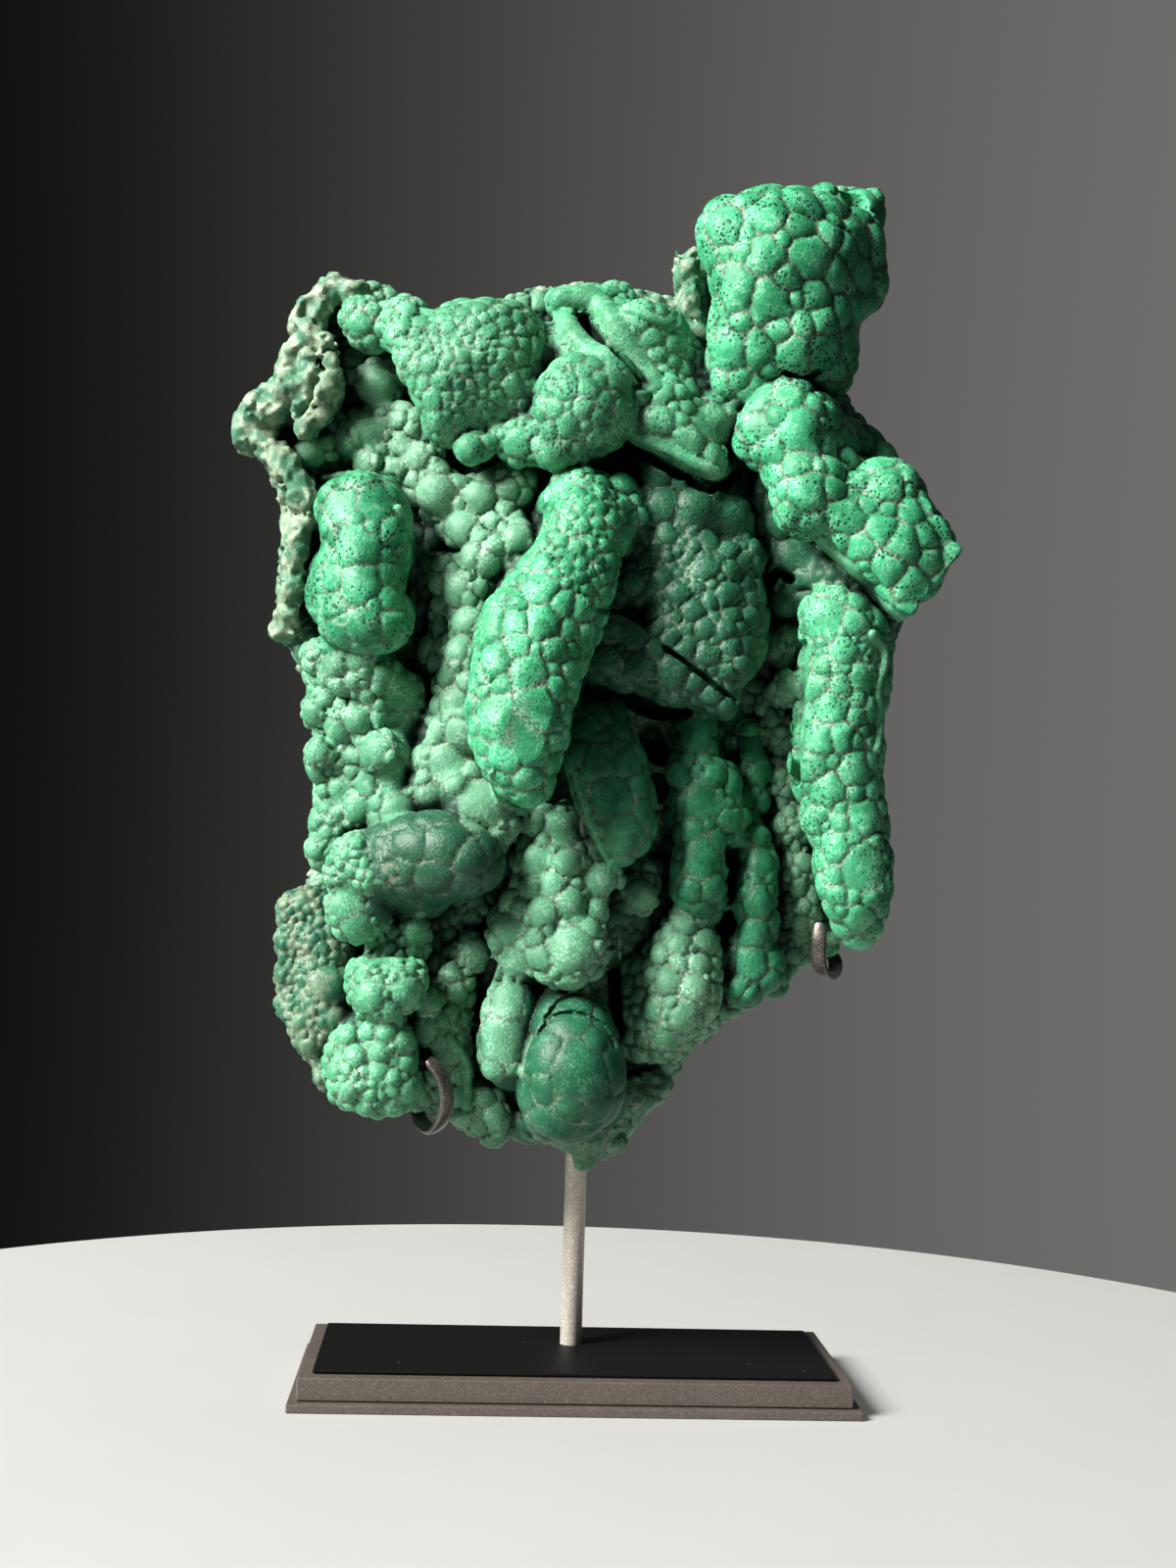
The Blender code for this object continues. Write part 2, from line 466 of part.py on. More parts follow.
def lump_mesh(name, lumps):
    """One mesh of many spheres. A lump is its centre, its radius and its depth as a share of that."""
    fine, coarse = sphere_shape(3), sphere_shape(2)
    corners, triangles, count = [], [], 0
    for centre, radius, depth in lumps:
        unit, faces = fine if radius > 6 else coarse
        corners.append(unit * (radius, radius * depth, radius) + centre)
        triangles.append(faces + count)
        count += len(unit)
    mesh = bpy.data.meshes.new(name)
    mesh.from_pydata(np.concatenate(corners).tolist(), [], np.concatenate(triangles).tolist())
    return mesh


def read_lump(x, z, forward, radius):
    centre, scale = seen_at(x, z, forward)
    return centre[:], radius * scale, 1.0


def roll_lumps(points, radius):
    """A rounded ridge: lumps a little over half a radius apart along the line."""
    spots = smooth_path([Vector(p) for p in points], 2)
    lumps = []
    for start, stop in zip(spots, spots[1:]):
        steps = max(1, math.ceil((stop - start).length / (0.6 * radius)))
        for step in range(steps + 1):
            x, z, forward = start.lerp(stop, step / steps)
            lumps.append(read_lump(x, z, forward, radius))
    return lumps


def slab_mesh(name, outline, back, front):
    """A flat outline given thickness, from back to front."""
    curve = bpy.data.curves.new(name, "CURVE")
    curve.dimensions = "2D"
    curve.fill_mode = "BOTH"
    curve.extrude = (front - back) / 2
    spline = curve.splines.new("POLY")
    spline.points.add(len(outline) - 1)
    for point, (x, z) in zip(spline.points, outline):
        point.co = (x, z, 0, 1)
    spline.use_cyclic_u = True
    guide = bpy.data.objects.new(name, curve)
    bpy.context.scene.collection.objects.link(guide)
    mesh = evaluated_mesh(guide, name)
    mesh.transform(Matrix.Translation((0, -(front + back) / 2, 0)) @ Matrix.Rotation(math.pi / 2, 4, "X"))
    bpy.data.objects.remove(guide)
    return mesh


def largest_body(mesh):
    """Deletes every loose body but the largest."""
    shape = bmesh.new()
    shape.from_mesh(mesh)
    unseen = set(shape.verts)
    bodies = []
    while unseen:
        body = [unseen.pop()]
        for vert in body:
            for link in vert.link_edges:
                other = link.other_vert(vert)
                if other in unseen:
                    unseen.discard(other)
                    body.append(other)
        bodies.append(body)
    bodies.sort(key=len)
    loose = [vert for body in bodies[:-1] for vert in body]
    bmesh.ops.delete(shape, geom=loose, context="VERTS")
    bmesh.ops.triangulate(shape, faces=shape.faces)
    shape.to_mesh(mesh)
    shape.free()


def build_malachite(parts, finish, seats):
    """Crust, fingers, bulbs and lumps grown into one body, with seats where the arms touch it."""
    lumps = [read_lump(*lump) for group in LUMPS.values() for lump in group]
    for points, radius in ROLLS:
        lumps += roll_lumps(points, radius)
    for x, z, radius in BACK_SWELLINGS:
        radius = min(radius, room_inside(x, z, CRUST_OUTLINE) + BACK_OVERHANG)
        lumps.append(((x, 0, z), radius, BACK_SWELL))
    block, back, front = CUT_BLOCK
    near = [seen_at(x, z, front)[0] for x, z in block]
    pieces = [
        lump_mesh("lumps", lumps),
        slab_mesh("crust", CRUST_OUTLINE, CRUST_BACK, CRUST_FRONT),
        slab_mesh("cut_block", [(point.x, point.z) for point in near], back, front),
    ]
    shape = bmesh.new()
    for piece in pieces:
        shape.from_mesh(piece)
    mesh = bpy.data.meshes.new("malachite_growth")
    shape.to_mesh(mesh)
    shape.free()
    source = bpy.data.objects.new("malachite_growth", mesh)
    bpy.context.scene.collection.objects.link(source)
    fuse = source.modifiers.new("grow together", "REMESH")
    fuse.mode = "VOXEL"
    fuse.voxel_size = VOXEL
    soften = source.modifiers.new("soften creases", "SMOOTH")
    soften.iterations = SMOOTHING
    fused = evaluated_mesh(source, "malachite")
    bpy.data.objects.remove(source)
    largest_body(fused)
    stone = node("malachite", fused, parts, finish)
    fewer = stone.modifiers.new("fewer faces", "DECIMATE")
    fewer.ratio = TRIANGLES / len(fused.polygons)
    for seat in seats:
        subtract(stone, seat, "clear of " + seat.name)
    fused.shade_smooth()


def main():
    clear_scene()
    parts = new_collection("malachite_specimen")
    cutters = new_collection("cutters")
    bronze = material("dark_bronze_coat", (0.045, 0.038, 0.034), 0.45, 0.6)
    black = material("black_satin_coat", (0.012, 0.012, 0.012), 0.4, 0.3)
    steel = material("bronzed_steel", (0.26, 0.22, 0.19), 0.38, 0.9)
    green = material("malachite", (0.035, 0.30, 0.16), 0.5, 0.0)
    build_base(parts, cutters, bronze, black)
    build_post(parts, steel)
    seats = build_arms(parts, cutters, steel)
    build_malachite(parts, green, seats)
    for cutter in cutters.objects:
        cutter.hide_render = True
        cutter.display_type = "WIRE"


main()
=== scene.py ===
import math
from collections import namedtuple

import bmesh
import bpy
import numpy as np
from mathutils import Matrix, Vector


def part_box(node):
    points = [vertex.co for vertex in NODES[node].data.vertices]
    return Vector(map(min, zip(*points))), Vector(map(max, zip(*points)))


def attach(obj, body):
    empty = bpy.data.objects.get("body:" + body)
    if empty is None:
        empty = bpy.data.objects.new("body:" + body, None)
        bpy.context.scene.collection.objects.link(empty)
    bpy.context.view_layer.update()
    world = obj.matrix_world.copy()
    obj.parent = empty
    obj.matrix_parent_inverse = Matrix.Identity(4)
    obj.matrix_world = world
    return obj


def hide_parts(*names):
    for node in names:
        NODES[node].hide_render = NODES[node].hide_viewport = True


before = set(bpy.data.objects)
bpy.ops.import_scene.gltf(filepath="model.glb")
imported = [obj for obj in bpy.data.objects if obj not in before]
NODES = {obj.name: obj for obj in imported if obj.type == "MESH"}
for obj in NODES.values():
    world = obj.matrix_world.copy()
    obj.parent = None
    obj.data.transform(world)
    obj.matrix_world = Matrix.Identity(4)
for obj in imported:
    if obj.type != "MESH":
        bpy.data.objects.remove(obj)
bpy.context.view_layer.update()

# A malachite specimen on its stand. The stone is worked out in millimetres as distances on a
# grid, then turned into five closed meshes that overlap. Places on it are read from the front,
# from the point EYE: x and z on the upright plane through the origin, and forward, how far the
# place stands in front of that plane.

MM = 0.001
EYE = np.array([-36.5, -629.5, 166.7])

# Grid of the stone. Distances are kept true for BAND around each form, and FAR is beyond
STEP = 0.7
GRID_LOW = (-124.0, -69.0, 63.0)
GRID_HIGH = (120.0, 16.0, 402.0)
GRID_BEHIND = 6.0
BAND = 2.5
FAR = 4.0
BOX_INSET = 0.05
TINY = 1e-6

# Meshes of the stone: how many triangles, where they meet, how far they overlap, the fewest
# corners of a body that is kept, and the angle from which an edge is sharp
TRIANGLES = 190000
BACK_TRIANGLES = 110000
SPLIT = (-12.0, -1.0, 232.0)
OVERLAP = 1.4
CRUMB = 400
SHARP = 65.0

# Crust that the lumps grow from
CRUST_FRONT = 11.0
CRUST_BACK = -3.0
CRUST_ROUND = 2.5
BACK_DEPTH = 2.5
BACK_SWELL = 0.33
BACK_OVERHANG = 1.0
CRUST_OUTLINE = [
    (-100, 346), (-93, 359), (-72, 358), (-60, 348), (-48, 348), (-30, 357), (-5, 361), (14, 360),
    (26, 357), (31, 374), (45, 390), (62, 396), (78, 399), (90, 398), (89, 372), (84, 348), (79, 331),
    (88, 318), (101, 302), (112, 288), (116, 278), (104, 262), (97, 250), (96, 215), (93, 195),
    (97, 170), (94, 152), (80, 146), (70, 138), (52, 124), (42, 118), (33, 108), (24, 94), (14, 80),
    (4, 74), (-6, 78), (-20, 83), (-28, 79), (-36, 87), (-56, 89), (-76, 91), (-84, 105), (-94, 116),
    (-98, 135), (-98, 153), (-88, 163), (-88, 190), (-90, 215), (-95, 232), (-103, 244), (-102, 262),
    (-98, 280), (-100, 294), (-114, 304), (-119, 314), (-108, 325), (-101, 337),
]

# The cut end of the arm of lobes at the upper right: outline, back and front
CUT_BLOCK = ([(84, 292), (98, 304), (111, 296), (123, 280), (107, 258), (102, 260)], 20, 49)

# Lumps: x, z, forward and radius as seen from the front
LUMPS = {
    "head": [
        (41, 386, 36, 11), (45, 377, 34, 10), (57, 388, 38, 13), (56, 374, 40, 13), (69, 389, 32, 11),
        (69, 375, 38, 13), (76, 380, 34, 10), (84, 383, 22, 11), (85, 368, 20, 12), (50, 362, 36, 13),
        (60, 358, 34, 10), (69, 357, 36, 11), (78, 360, 32, 9), (47, 346, 33, 12), (57, 343, 32, 10),
        (68, 346, 37, 12), (78, 343, 28, 8), (45, 333, 30, 8), (52, 330, 28, 9), (76, 336, 26, 7),
        (60, 372, 18, 20), (62, 348, 16, 18), (84, 390, 12, 9), (74, 397, 22, 6), (90, 397, 12, 5),
    ],
    "arm": [
        (62, 329, 36, 9), (53, 319, 36, 7), (52, 313, 35, 6), (66, 320, 40, 11), (74, 322, 34, 8),
        (60, 312, 37, 7), (66, 306, 40, 9), (72, 298, 42, 12), (69, 290, 40, 9), (80, 308, 34, 6),
        (98, 298, 40, 13), (85, 288, 42, 9), (92, 281, 42, 10), (100, 278, 44, 10), (107, 284, 42, 9),
        (112, 282, 38, 9), (109, 272, 41, 9), (103, 266, 43, 7), (75, 310, 20, 15), (95, 290, 22, 16),
        (86, 314, 14, 8), (94, 308, 16, 8),
    ],
    "right_column": [
        (84, 252, 34, 13), (78, 256, 36, 9), (92, 246, 32, 9), (84, 240, 33, 13), (92, 232, 30, 8),
        (77, 233, 33, 7), (85, 226, 33, 12), (76, 222, 32, 8), (81, 213, 34, 13), (90, 212, 31, 8),
        (76, 203, 33, 9), (87, 203, 33, 10), (84, 194, 33, 11), (91, 190, 32, 9), (78, 187, 33, 6),
        (88, 180, 34, 11), (92, 173, 34, 10), (85, 170, 34, 8), (92, 163, 34, 10), (86, 162, 36, 6),
        (91, 154, 30, 8), (92, 150, 24, 6), (82, 235, 18, 15), (84, 210, 18, 14), (87, 185, 18, 12),
        (90, 160, 14, 10), (81, 146, 4, 5),
    ],
    "main_finger": [
        (-8, 296, 34, 8), (-3, 290, 36, 8), (8, 296, 30, 6), (13, 288, 30, 5), (16, 284, 28, 4),
        (-8, 284, 40, 9), (0, 280, 38, 9), (5, 282, 34, 5), (-10, 273, 43, 10), (-1, 270, 42, 9),
        (-13, 262, 46, 10), (-3, 260, 44, 8), (-19, 258, 45, 9), (-26, 252, 46, 10), (-14, 251, 48, 10),
        (-5, 250, 46, 8), (-30, 244, 46, 9), (-20, 240, 50, 12), (-10, 240, 46, 8), (-27, 232, 50, 12),
        (-16, 230, 50, 11), (-31, 222, 50, 10), (-20, 221, 54, 12), (-28, 212, 54, 12), (-17, 212, 54, 9),
        (-24, 203, 54, 11), (-20, 196, 52, 8), (-10, 285, 20, 14), (-18, 262, 24, 16), (-25, 240, 28, 14),
    ],
    "cut_finger": [
        (2, 215, 26, 8), (-1, 206, 30, 8), (8, 207, 32, 9), (3, 198, 34, 9), (11, 198, 34, 9),
        (5, 190, 36, 9), (14, 190, 34, 8), (10, 182, 38, 8), (15, 181, 36, 7), (11, 175, 38, 5),
        (4, 218, 14, 10),
    ],
    "arch": [
        (23, 303, 26, 11), (33, 290, 30, 9), (45, 288, 27, 8), (20, 290, 27, 8), (50, 274, 26, 8),
        (13, 278, 26, 6), (22, 276, 27, 7), (31, 276, 28, 8), (40, 270, 30, 9), (12, 265, 28, 6),
        (21, 264, 30, 7), (30, 262, 30, 8), (39, 260, 31, 8), (48, 262, 28, 8), (5, 258, 28, 6),
        (26, 252, 32, 7), (35, 250, 33, 7), (44, 248, 33, 8), (52, 254, 28, 7), (3, 250, 32, 6),
        (10, 247, 33, 6), (17, 244, 33, 5), (23, 241, 33, 4.5), (2, 238, 32, 7), (11, 235, 33, 8),
        (20, 236, 32, 6), (29, 238, 34, 6), (38, 240, 33, 7), (47, 238, 33, 8), (53, 243, 28, 6),
        (26, 229, 32, 6), (34, 230, 32, 6), (40, 228, 32, 5), (45, 224, 32, 5), (25, 280, 12, 18),
        (30, 255, 16, 18), (45, 250, 14, 14), (10, 245, 16, 12), (40, 235, 18, 10),
    ],
    "beside_arch": [
        (66, 275, 20, 9), (60, 288, 22, 7), (57, 298, 22, 6), (66, 262, 16, 8), (84, 268, 26, 13),
        (96, 262, 22, 9), (96, 252, 20, 7),
    ],
    "ledge": [
        (16, 318, 34, 8), (26, 316, 34, 8), (22, 326, 32, 9), (32, 310, 34, 7), (38, 306, 34, 6),
        (42, 322, 30, 6), (35, 318, 30, 8), (30, 326, 18, 14),
    ],
    "top_middle": [
        (8, 350, 26, 9), (16, 345, 26, 9), (18, 335, 26, 9), (27, 340, 20, 9), (22, 352, 24, 6),
        (14, 354, 28, 5), (22, 346, 26, 4), (28, 330, 26, 7), (-5, 358, 18, 7), (5, 360, 16, 7),
        (-15, 358, 18, 6), (-8, 340, 24, 12), (-8, 328, 38, 13), (-2, 322, 38, 12), (-12, 322, 38, 10),
        (2, 330, 36, 9), (-4, 316, 38, 7), (4, 316, 34, 6), (-15, 307, 38, 7), (-7, 309, 36, 4),
        (-26, 313, 34, 6), (-27, 305, 33, 4), (-33, 312, 32, 4), (-43, 307, 34, 7), (-8, 315, 22, 14),
    ],
    "top_left": [
        (-66, 352, 28, 7), (-65, 344, 32, 7), (-61, 336, 34, 8), (-56, 328, 34, 8), (-52, 320, 34, 7),
        (-52, 312, 30, 6), (-50, 344, 32, 10), (-40, 348, 32, 10), (-37, 338, 34, 10), (-48, 334, 36, 10),
        (-30, 350, 28, 8), (-28, 340, 30, 9), (-38, 326, 33, 8), (-28, 328, 32, 8), (-44, 322, 32, 6),
        (-24, 320, 30, 7), (-36, 316, 28, 7), (-45, 340, 14, 18), (-28, 335, 12, 16), (-8, 335, 16, 18),
        (-40, 315, 10, 14), (-81, 350, 24, 8), (-77, 344, 24, 7),
    ],
    "hollow": [
        (-74, 327, 12, 9), (-78, 310, 14, 9), (-72, 300, 14, 8), (-96, 304, 12, 7), (-88, 306, 10, 6),
        (-87, 313, 10, 5), (-58, 303, 18, 7), (-53, 292, 20, 9), (-64, 296, 14, 8), (-70, 314, 14, 7),
        (-62, 314, 18, 7), (-48, 283, 16, 7), (-85, 330, 6, 8), (-38, 290, 20, 9), (-42, 278, 20, 8),
        (-28, 295, 22, 9), (-30, 280, 24, 8),
    ],
    "left_column": [
        (-86, 287, 30, 8), (-76, 289, 32, 9), (-69, 286, 30, 6), (-80, 278, 34, 10), (-72, 278, 32, 9),
        (-77, 267, 36, 10), (-70, 268, 32, 8), (-84, 262, 30, 8), (-76, 256, 36, 10), (-82, 247, 34, 9),
        (-74, 247, 38, 9), (-67, 248, 36, 8), (-88, 255, 26, 8), (-80, 260, 14, 16), (-80, 282, 16, 12),
    ],
    "left_flank": [
        (-90, 236, 22, 7), (-82, 236, 28, 6), (-75, 236, 30, 6), (-84, 229, 26, 6), (-76, 228, 28, 6),
        (-68, 230, 28, 6), (-62, 224, 22, 8), (-70, 220, 26, 6), (-88, 218, 20, 7), (-80, 215, 24, 7),
        (-62, 214, 20, 7), (-74, 212, 24, 5), (-67, 204, 26, 9), (-88, 203, 22, 7), (-78, 203, 22, 6),
        (-66, 195, 24, 7), (-75, 194, 22, 6), (-84, 193, 18, 7), (-76, 186, 22, 7), (-84, 182, 20, 7),
        (-66, 186, 26, 8), (-58, 184, 26, 7), (-86, 172, 20, 7), (-80, 225, 10, 14), (-75, 200, 8, 14),
        (-78, 180, 8, 14),
    ],
    "pale_flow": [
        (-48, 264, 22, 8), (-36, 272, 26, 8), (-26, 276, 28, 8), (-40, 258, 26, 8), (-49, 252, 18, 6),
        (-48, 240, 20, 7), (-40, 246, 28, 8), (-42, 236, 30, 8), (-37, 228, 32, 8), (-46, 226, 26, 7),
        (-44, 214, 30, 8), (-51, 216, 22, 6), (-37, 214, 34, 7), (-48, 203, 28, 9), (-57, 204, 20, 6),
        (-53, 194, 26, 8), (-42, 195, 30, 9), (-38, 187, 32, 10), (-32, 190, 34, 8), (-30, 182, 32, 8),
        (-36, 178, 28, 8), (-45, 235, 10, 14), (-45, 205, 10, 15), (-35, 190, 14, 14),
    ],
    "snout": [
        (-66, 172, 28, 11), (-58, 172, 34, 12), (-50, 172, 38, 13), (-42, 171, 40, 12), (-36, 169, 40, 9),
        (-64, 167, 38, 7), (-52, 160, 24, 9), (-60, 158, 20, 8), (-66, 165, 14, 12),
    ],
    "left_beads": [
        (-76, 171, 34, 8), (-70, 165, 36, 8), (-80, 165, 30, 7), (-79, 153, 30, 7), (-75, 148, 30, 7),
        (-70, 152, 26, 8),
    ],
    "cauliflower": [
        (-56, 147, 24, 6), (-55, 141, 20, 5), (-66, 143, 22, 6), (-66, 138, 22, 6), (-70, 128, 32, 8),
        (-60, 128, 32, 8), (-66, 123, 34, 8), (-57, 131, 30, 6), (-73, 132, 28, 5), (-75, 108, 28, 8),
        (-63, 109, 30, 9), (-73, 98, 30, 9), (-62, 98, 31, 9), (-57, 94, 28, 6), (-66, 92, 29, 7),
        (-76, 94, 26, 6), (-78, 103, 25, 6), (-67, 110, 18, 14), (-67, 100, 18, 12), (-64, 130, 18, 10),
    ],
    "left_strip": [
        (-96, 152, 14, 6), (-90, 154, 14, 7), (-96, 142, 14, 6), (-88, 142, 16, 7), (-96, 131, 14, 6),
        (-87, 131, 18, 7), (-95, 121, 14, 6), (-87, 121, 18, 7), (-90, 113, 16, 6), (-82, 125, 18, 7),
        (-82, 115, 18, 7), (-87, 107, 16, 5), (-82, 138, 14, 8), (-83, 98, 18, 5), (-84, 148, 14, 7),
    ],
    "lower_recess": [
        (-52, 122, 26, 5), (-50, 114, 22, 6), (-45, 117, 22, 4), (-43, 107, 18, 6), (-39, 101, 17, 4),
        (-38, 93, 14, 4), (-43, 128, 16, 8), (-42, 116, 14, 8), (-44, 102, 10, 8), (-36, 140, 18, 7),
        (-48, 136, 10, 8), (-46, 150, 8, 8), (-36, 155, 8, 8), (-35, 87, 12, 6), (-30, 90, 13, 7),
        (-27, 84, 14, 7), (-43, 91, 8, 5),
    ],
    "middle_column": [
        (-18, 184, 26, 7), (-10, 181, 28, 7), (-3, 186, 24, 7), (-17, 171, 30, 7), (-7, 172, 30, 8),
        (1, 176, 26, 7), (5, 165, 30, 8), (-18, 160, 30, 7), (-8, 160, 32, 8), (3, 155, 26, 8),
        (-22, 154, 28, 7), (-13, 152, 34, 8), (-2, 149, 32, 8), (-25, 146, 26, 8), (-15, 142, 32, 8),
        (-3, 141, 36, 11), (5, 142, 30, 7), (-8, 136, 32, 8), (-22, 137, 26, 7), (-28, 133, 22, 6),
        (-10, 170, 12, 16), (-12, 150, 12, 16), (-20, 130, 10, 14),
    ],
    "left_bulb": [(-23, 124, 26, 9), (-25, 115, 28, 9), (-25, 106, 28, 9), (-22, 103, 24, 8)],
    "big_bulb": [
        (-5, 124, 22, 9), (-3, 117, 28, 12), (-2, 108, 34, 14), (-3, 100, 37, 15), (1, 96, 35, 13),
        (-5, 92, 33, 12), (-8, 88, 26, 9), (-8, 105, 14, 18),
    ],
    "bottom_rock": [
        (12, 92, 16, 9), (20, 94, 12, 7), (2, 83, 16, 10), (-14, 85, 14, 7), (8, 82, 12, 8),
        (-21, 83, 12, 4), (2, 72, 8, 4), (25, 99, 8, 6),
    ],
    "twin_columns": [
        (35, 218, 18, 7), (35, 210, 20, 7), (29, 202, 22, 6), (40, 201, 24, 6), (46, 200, 22, 5),
        (36, 192, 24, 8), (43, 190, 24, 7), (37, 182, 24, 8), (41, 178, 22, 7), (37, 172, 26, 9),
        (37, 163, 26, 9), (40, 158, 22, 7), (53, 215, 12, 6), (55, 204, 12, 7), (55, 193, 14, 6),
        (48, 187, 22, 6), (56, 180, 18, 6), (58, 171, 20, 6.5), (57, 161, 22, 7), (58, 152, 20, 7),
        (55, 143, 18, 7), (60, 137, 18, 7), (53, 130, 18, 7), (49, 142, 14, 5), (64, 133, 12, 5),
        (35, 190, 8, 12), (35, 165, 10, 12), (56, 165, 8, 10), (56, 140, 8, 11),
    ],
    "pale_cone": [
        (34, 150, 20, 8), (31, 141, 22, 8), (39, 141, 20, 7), (27, 130, 22, 8), (37, 130, 24, 9),
        (30, 120, 24, 9), (40, 121, 16, 7), (28, 112, 20, 7), (20, 122, 16, 9), (17, 133, 10, 8),
        (18, 112, 12, 8), (29, 105, 8, 5), (32, 135, 10, 15), (18, 160, 24, 7), (20, 168, 16, 6),
    ],
    "right_recess": [
        (66, 231, 20, 6), (64, 245, 14, 8), (66, 215, 12, 9), (66, 200, 10, 9), (68, 185, 10, 9),
        (70, 170, 10, 9), (72, 157, 10, 8), (60, 225, 10, 7),
    ],
}

# Low swellings of the weathered back: x, z and radius
BACK_SWELLINGS = [
    (-86, 340, 22), (-62, 322, 34), (-30, 330, 30), (2, 328, 30), (32, 325, 28), (60, 370, 30),
    (74, 384, 18), (58, 335, 26), (-96, 308, 20), (-74, 285, 26), (-48, 288, 30), (80, 296, 28),
    (50, 290, 30), (8, 290, 30), (-72, 250, 28), (-48, 236, 34), (44, 242, 32), (70, 248, 26),
    (-66, 205, 26), (-44, 188, 30), (46, 196, 32), (72, 200, 24), (-70, 150, 28), (-50, 134, 32),
    (40, 158, 28), (70, 170, 24), (-64, 112, 24), (-34, 108, 22), (26, 124, 18),
]

# Broken edges of the crust: points of x, z and forward, the radius of the edge, and how far the
# wall behind it is drawn back
EDGES = [
    ([(-99, 345, 19), (-95, 354, 19), (-89, 359, 19), (-83, 357, 19)], 4.8, 14),
    ([(-97, 342, 21), (-102, 335, 19), (-104, 328, 19)], 4.8, 14),
    ([(-97, 326, 20), (-106, 321, 20), (-113, 316, 17), (-116, 311, 14)], 6.5, 12),
    ([(-113, 309, 16), (-106, 301, 18), (-100, 293, 19), (-97, 286, 20)], 4.6, 12),
    ([(-97, 280, 19), (-100, 270, 17), (-100, 260, 16), (-101, 252, 14), (-102, 245, 13)], 4.2, 12),
    ([(-111, 312, 6), (-103, 300, 6), (-97, 285, 6), (-97, 268, 6), (-98, 250, 4)], 7.0, 4),
    ([(-92, 340, 25), (-90, 330, 27), (-93, 319, 26), (-98, 312, 24)], 3.0, 12),
    ([(-99, 336, 23), (-97, 326, 24), (-101, 317, 23)], 3.0, 10),
    ([(28, 376, 12), (28, 366, 14), (30, 356, 16), (34, 350, 16)], 2.8, 8),
    ([(-27, 357, 6), (-14, 360, 8), (0, 361, 8), (14, 358, 10), (23, 356, 12)], 3.0, 10),
]

# Thin shells and lips: x and z along the edge, its thickness, and how far it stands up from the
# surface behind it
SHELL_ROOT = 4.0
SHELLS = [
    ([(-66, 286), (-62, 277), (-61, 266), (-61, 254), (-65, 242)], 1.5, 0.5),
    ([(11, 327), (11, 316), (18, 312), (26, 309), (34, 305), (41, 303), (46, 308)], 2.0, 1.2),
    ([(-13, 354), (-9, 346), (-3, 341), (5, 338), (10, 333), (13, 328)], 4.0, -1.7),
    ([(-14, 359), (-4, 359), (3, 353), (8, 345), (14, 337), (18, 330)], 4.4, -1.9),
    ([(8, 357), (14, 355), (21, 352)], 1.8, 0.8),
    ([(76, 282), (83, 276), (90, 270), (98, 262), (104, 257)], 1.6, 0.6),
    ([(94, 250), (98, 246), (98, 240), (96, 232), (97, 222), (96, 212)], 1.7, 0.8),
    ([(-32, 199), (-29, 191), (-22, 187), (-15, 190), (-11, 199)], 1.3, 0.6),
    ([(-4, 200), (0, 188), (5, 176), (11, 168)], 1.3, 0.6),
    ([(-44, 112), (-38, 105), (-37, 97), (-37, 90)], 1.5, 1.0),
    ([(-91, 295), (-80, 297), (-68, 295)], 1.5, 0.6),
    ([(-75, 134), (-63, 136), (-52, 134)], 1.5, 0.6),
]

# Arm centrelines, from the post to the tip of the hook
RIGHT_ARM = [
    (3.9, 7.9, 129), (22, 12, 131), (50, 13, 137), (74, 11, 143.5), (83.5, 6.0, 142),
    (84.0, 0, 138), (80.5, -10, 136), (76.5, -19, 136.8), (74.0, -24, 141), (73.6, -25.6, 147),
    (73.6, -24.8, 153.5),
]
LEFT_ARM = [
    (-3.9, 7.9, 105), (-18, 12, 104), (-38, 13, 102), (-50, 10, 98), (-53, 4.0, 91.5),
    (-52.5, -4, 87), (-50, -15, 84.8), (-46.8, -26, 85.4), (-44, -33.5, 90), (-43.2, -36.8, 97),
    (-45.2, -38, 104), (-49.3, -37.6, 108.2),
]
HOOK_STARTS = 4
ARM_STEPS = 8
ARM_SIDES = 24
ROD_SECTION = 3.8
HOOK_WIDTH = 4.8
HOOK_THICKNESS = 2.6
HOOK_SQUARENESS = 0.35
TIP_SHARE = 0.55
ARM_SHARP = 50.0
ARM_ROOM = 3.1
POST_RADIUS = 3.6
POST_Y = 7.9
POST_TOP_Z = 250.0
POST_CHAMFER = 0.9
POST_CORNER = 0.25
POST_SIDES = 64
POST_SHARP = 30.0
POST_ROOM = 0.5


# Geometry helpers


def smooth_path(points, steps):
    """Points along a Catmull-Rom curve through the given ones."""
    points = [Vector(point) for point in points]
    ends = [points[0] * 2 - points[1], *points, points[-1] * 2 - points[-2]]
    path = []
    for before, start, stop, after in zip(ends, ends[1:], ends[2:], ends[3:]):
        for step in range(steps):
            t = step / steps
            path.append(
                0.5 * (2 * start + (stop - before) * t
                       + (2 * before - 5 * start + 4 * stop - after) * t ** 2
                       + (3 * start - before - 3 * stop + after) * t ** 3)
            )
    return path + [points[-1]]


def seen_at(x, z, forward):
    """The point seen from EYE at x, z on the upright plane, and how much smaller things are there."""
    on_plane = np.array([x, 0.0, z])
    share = forward / -EYE[1]
    return on_plane + (EYE - on_plane) * share, 1 - share


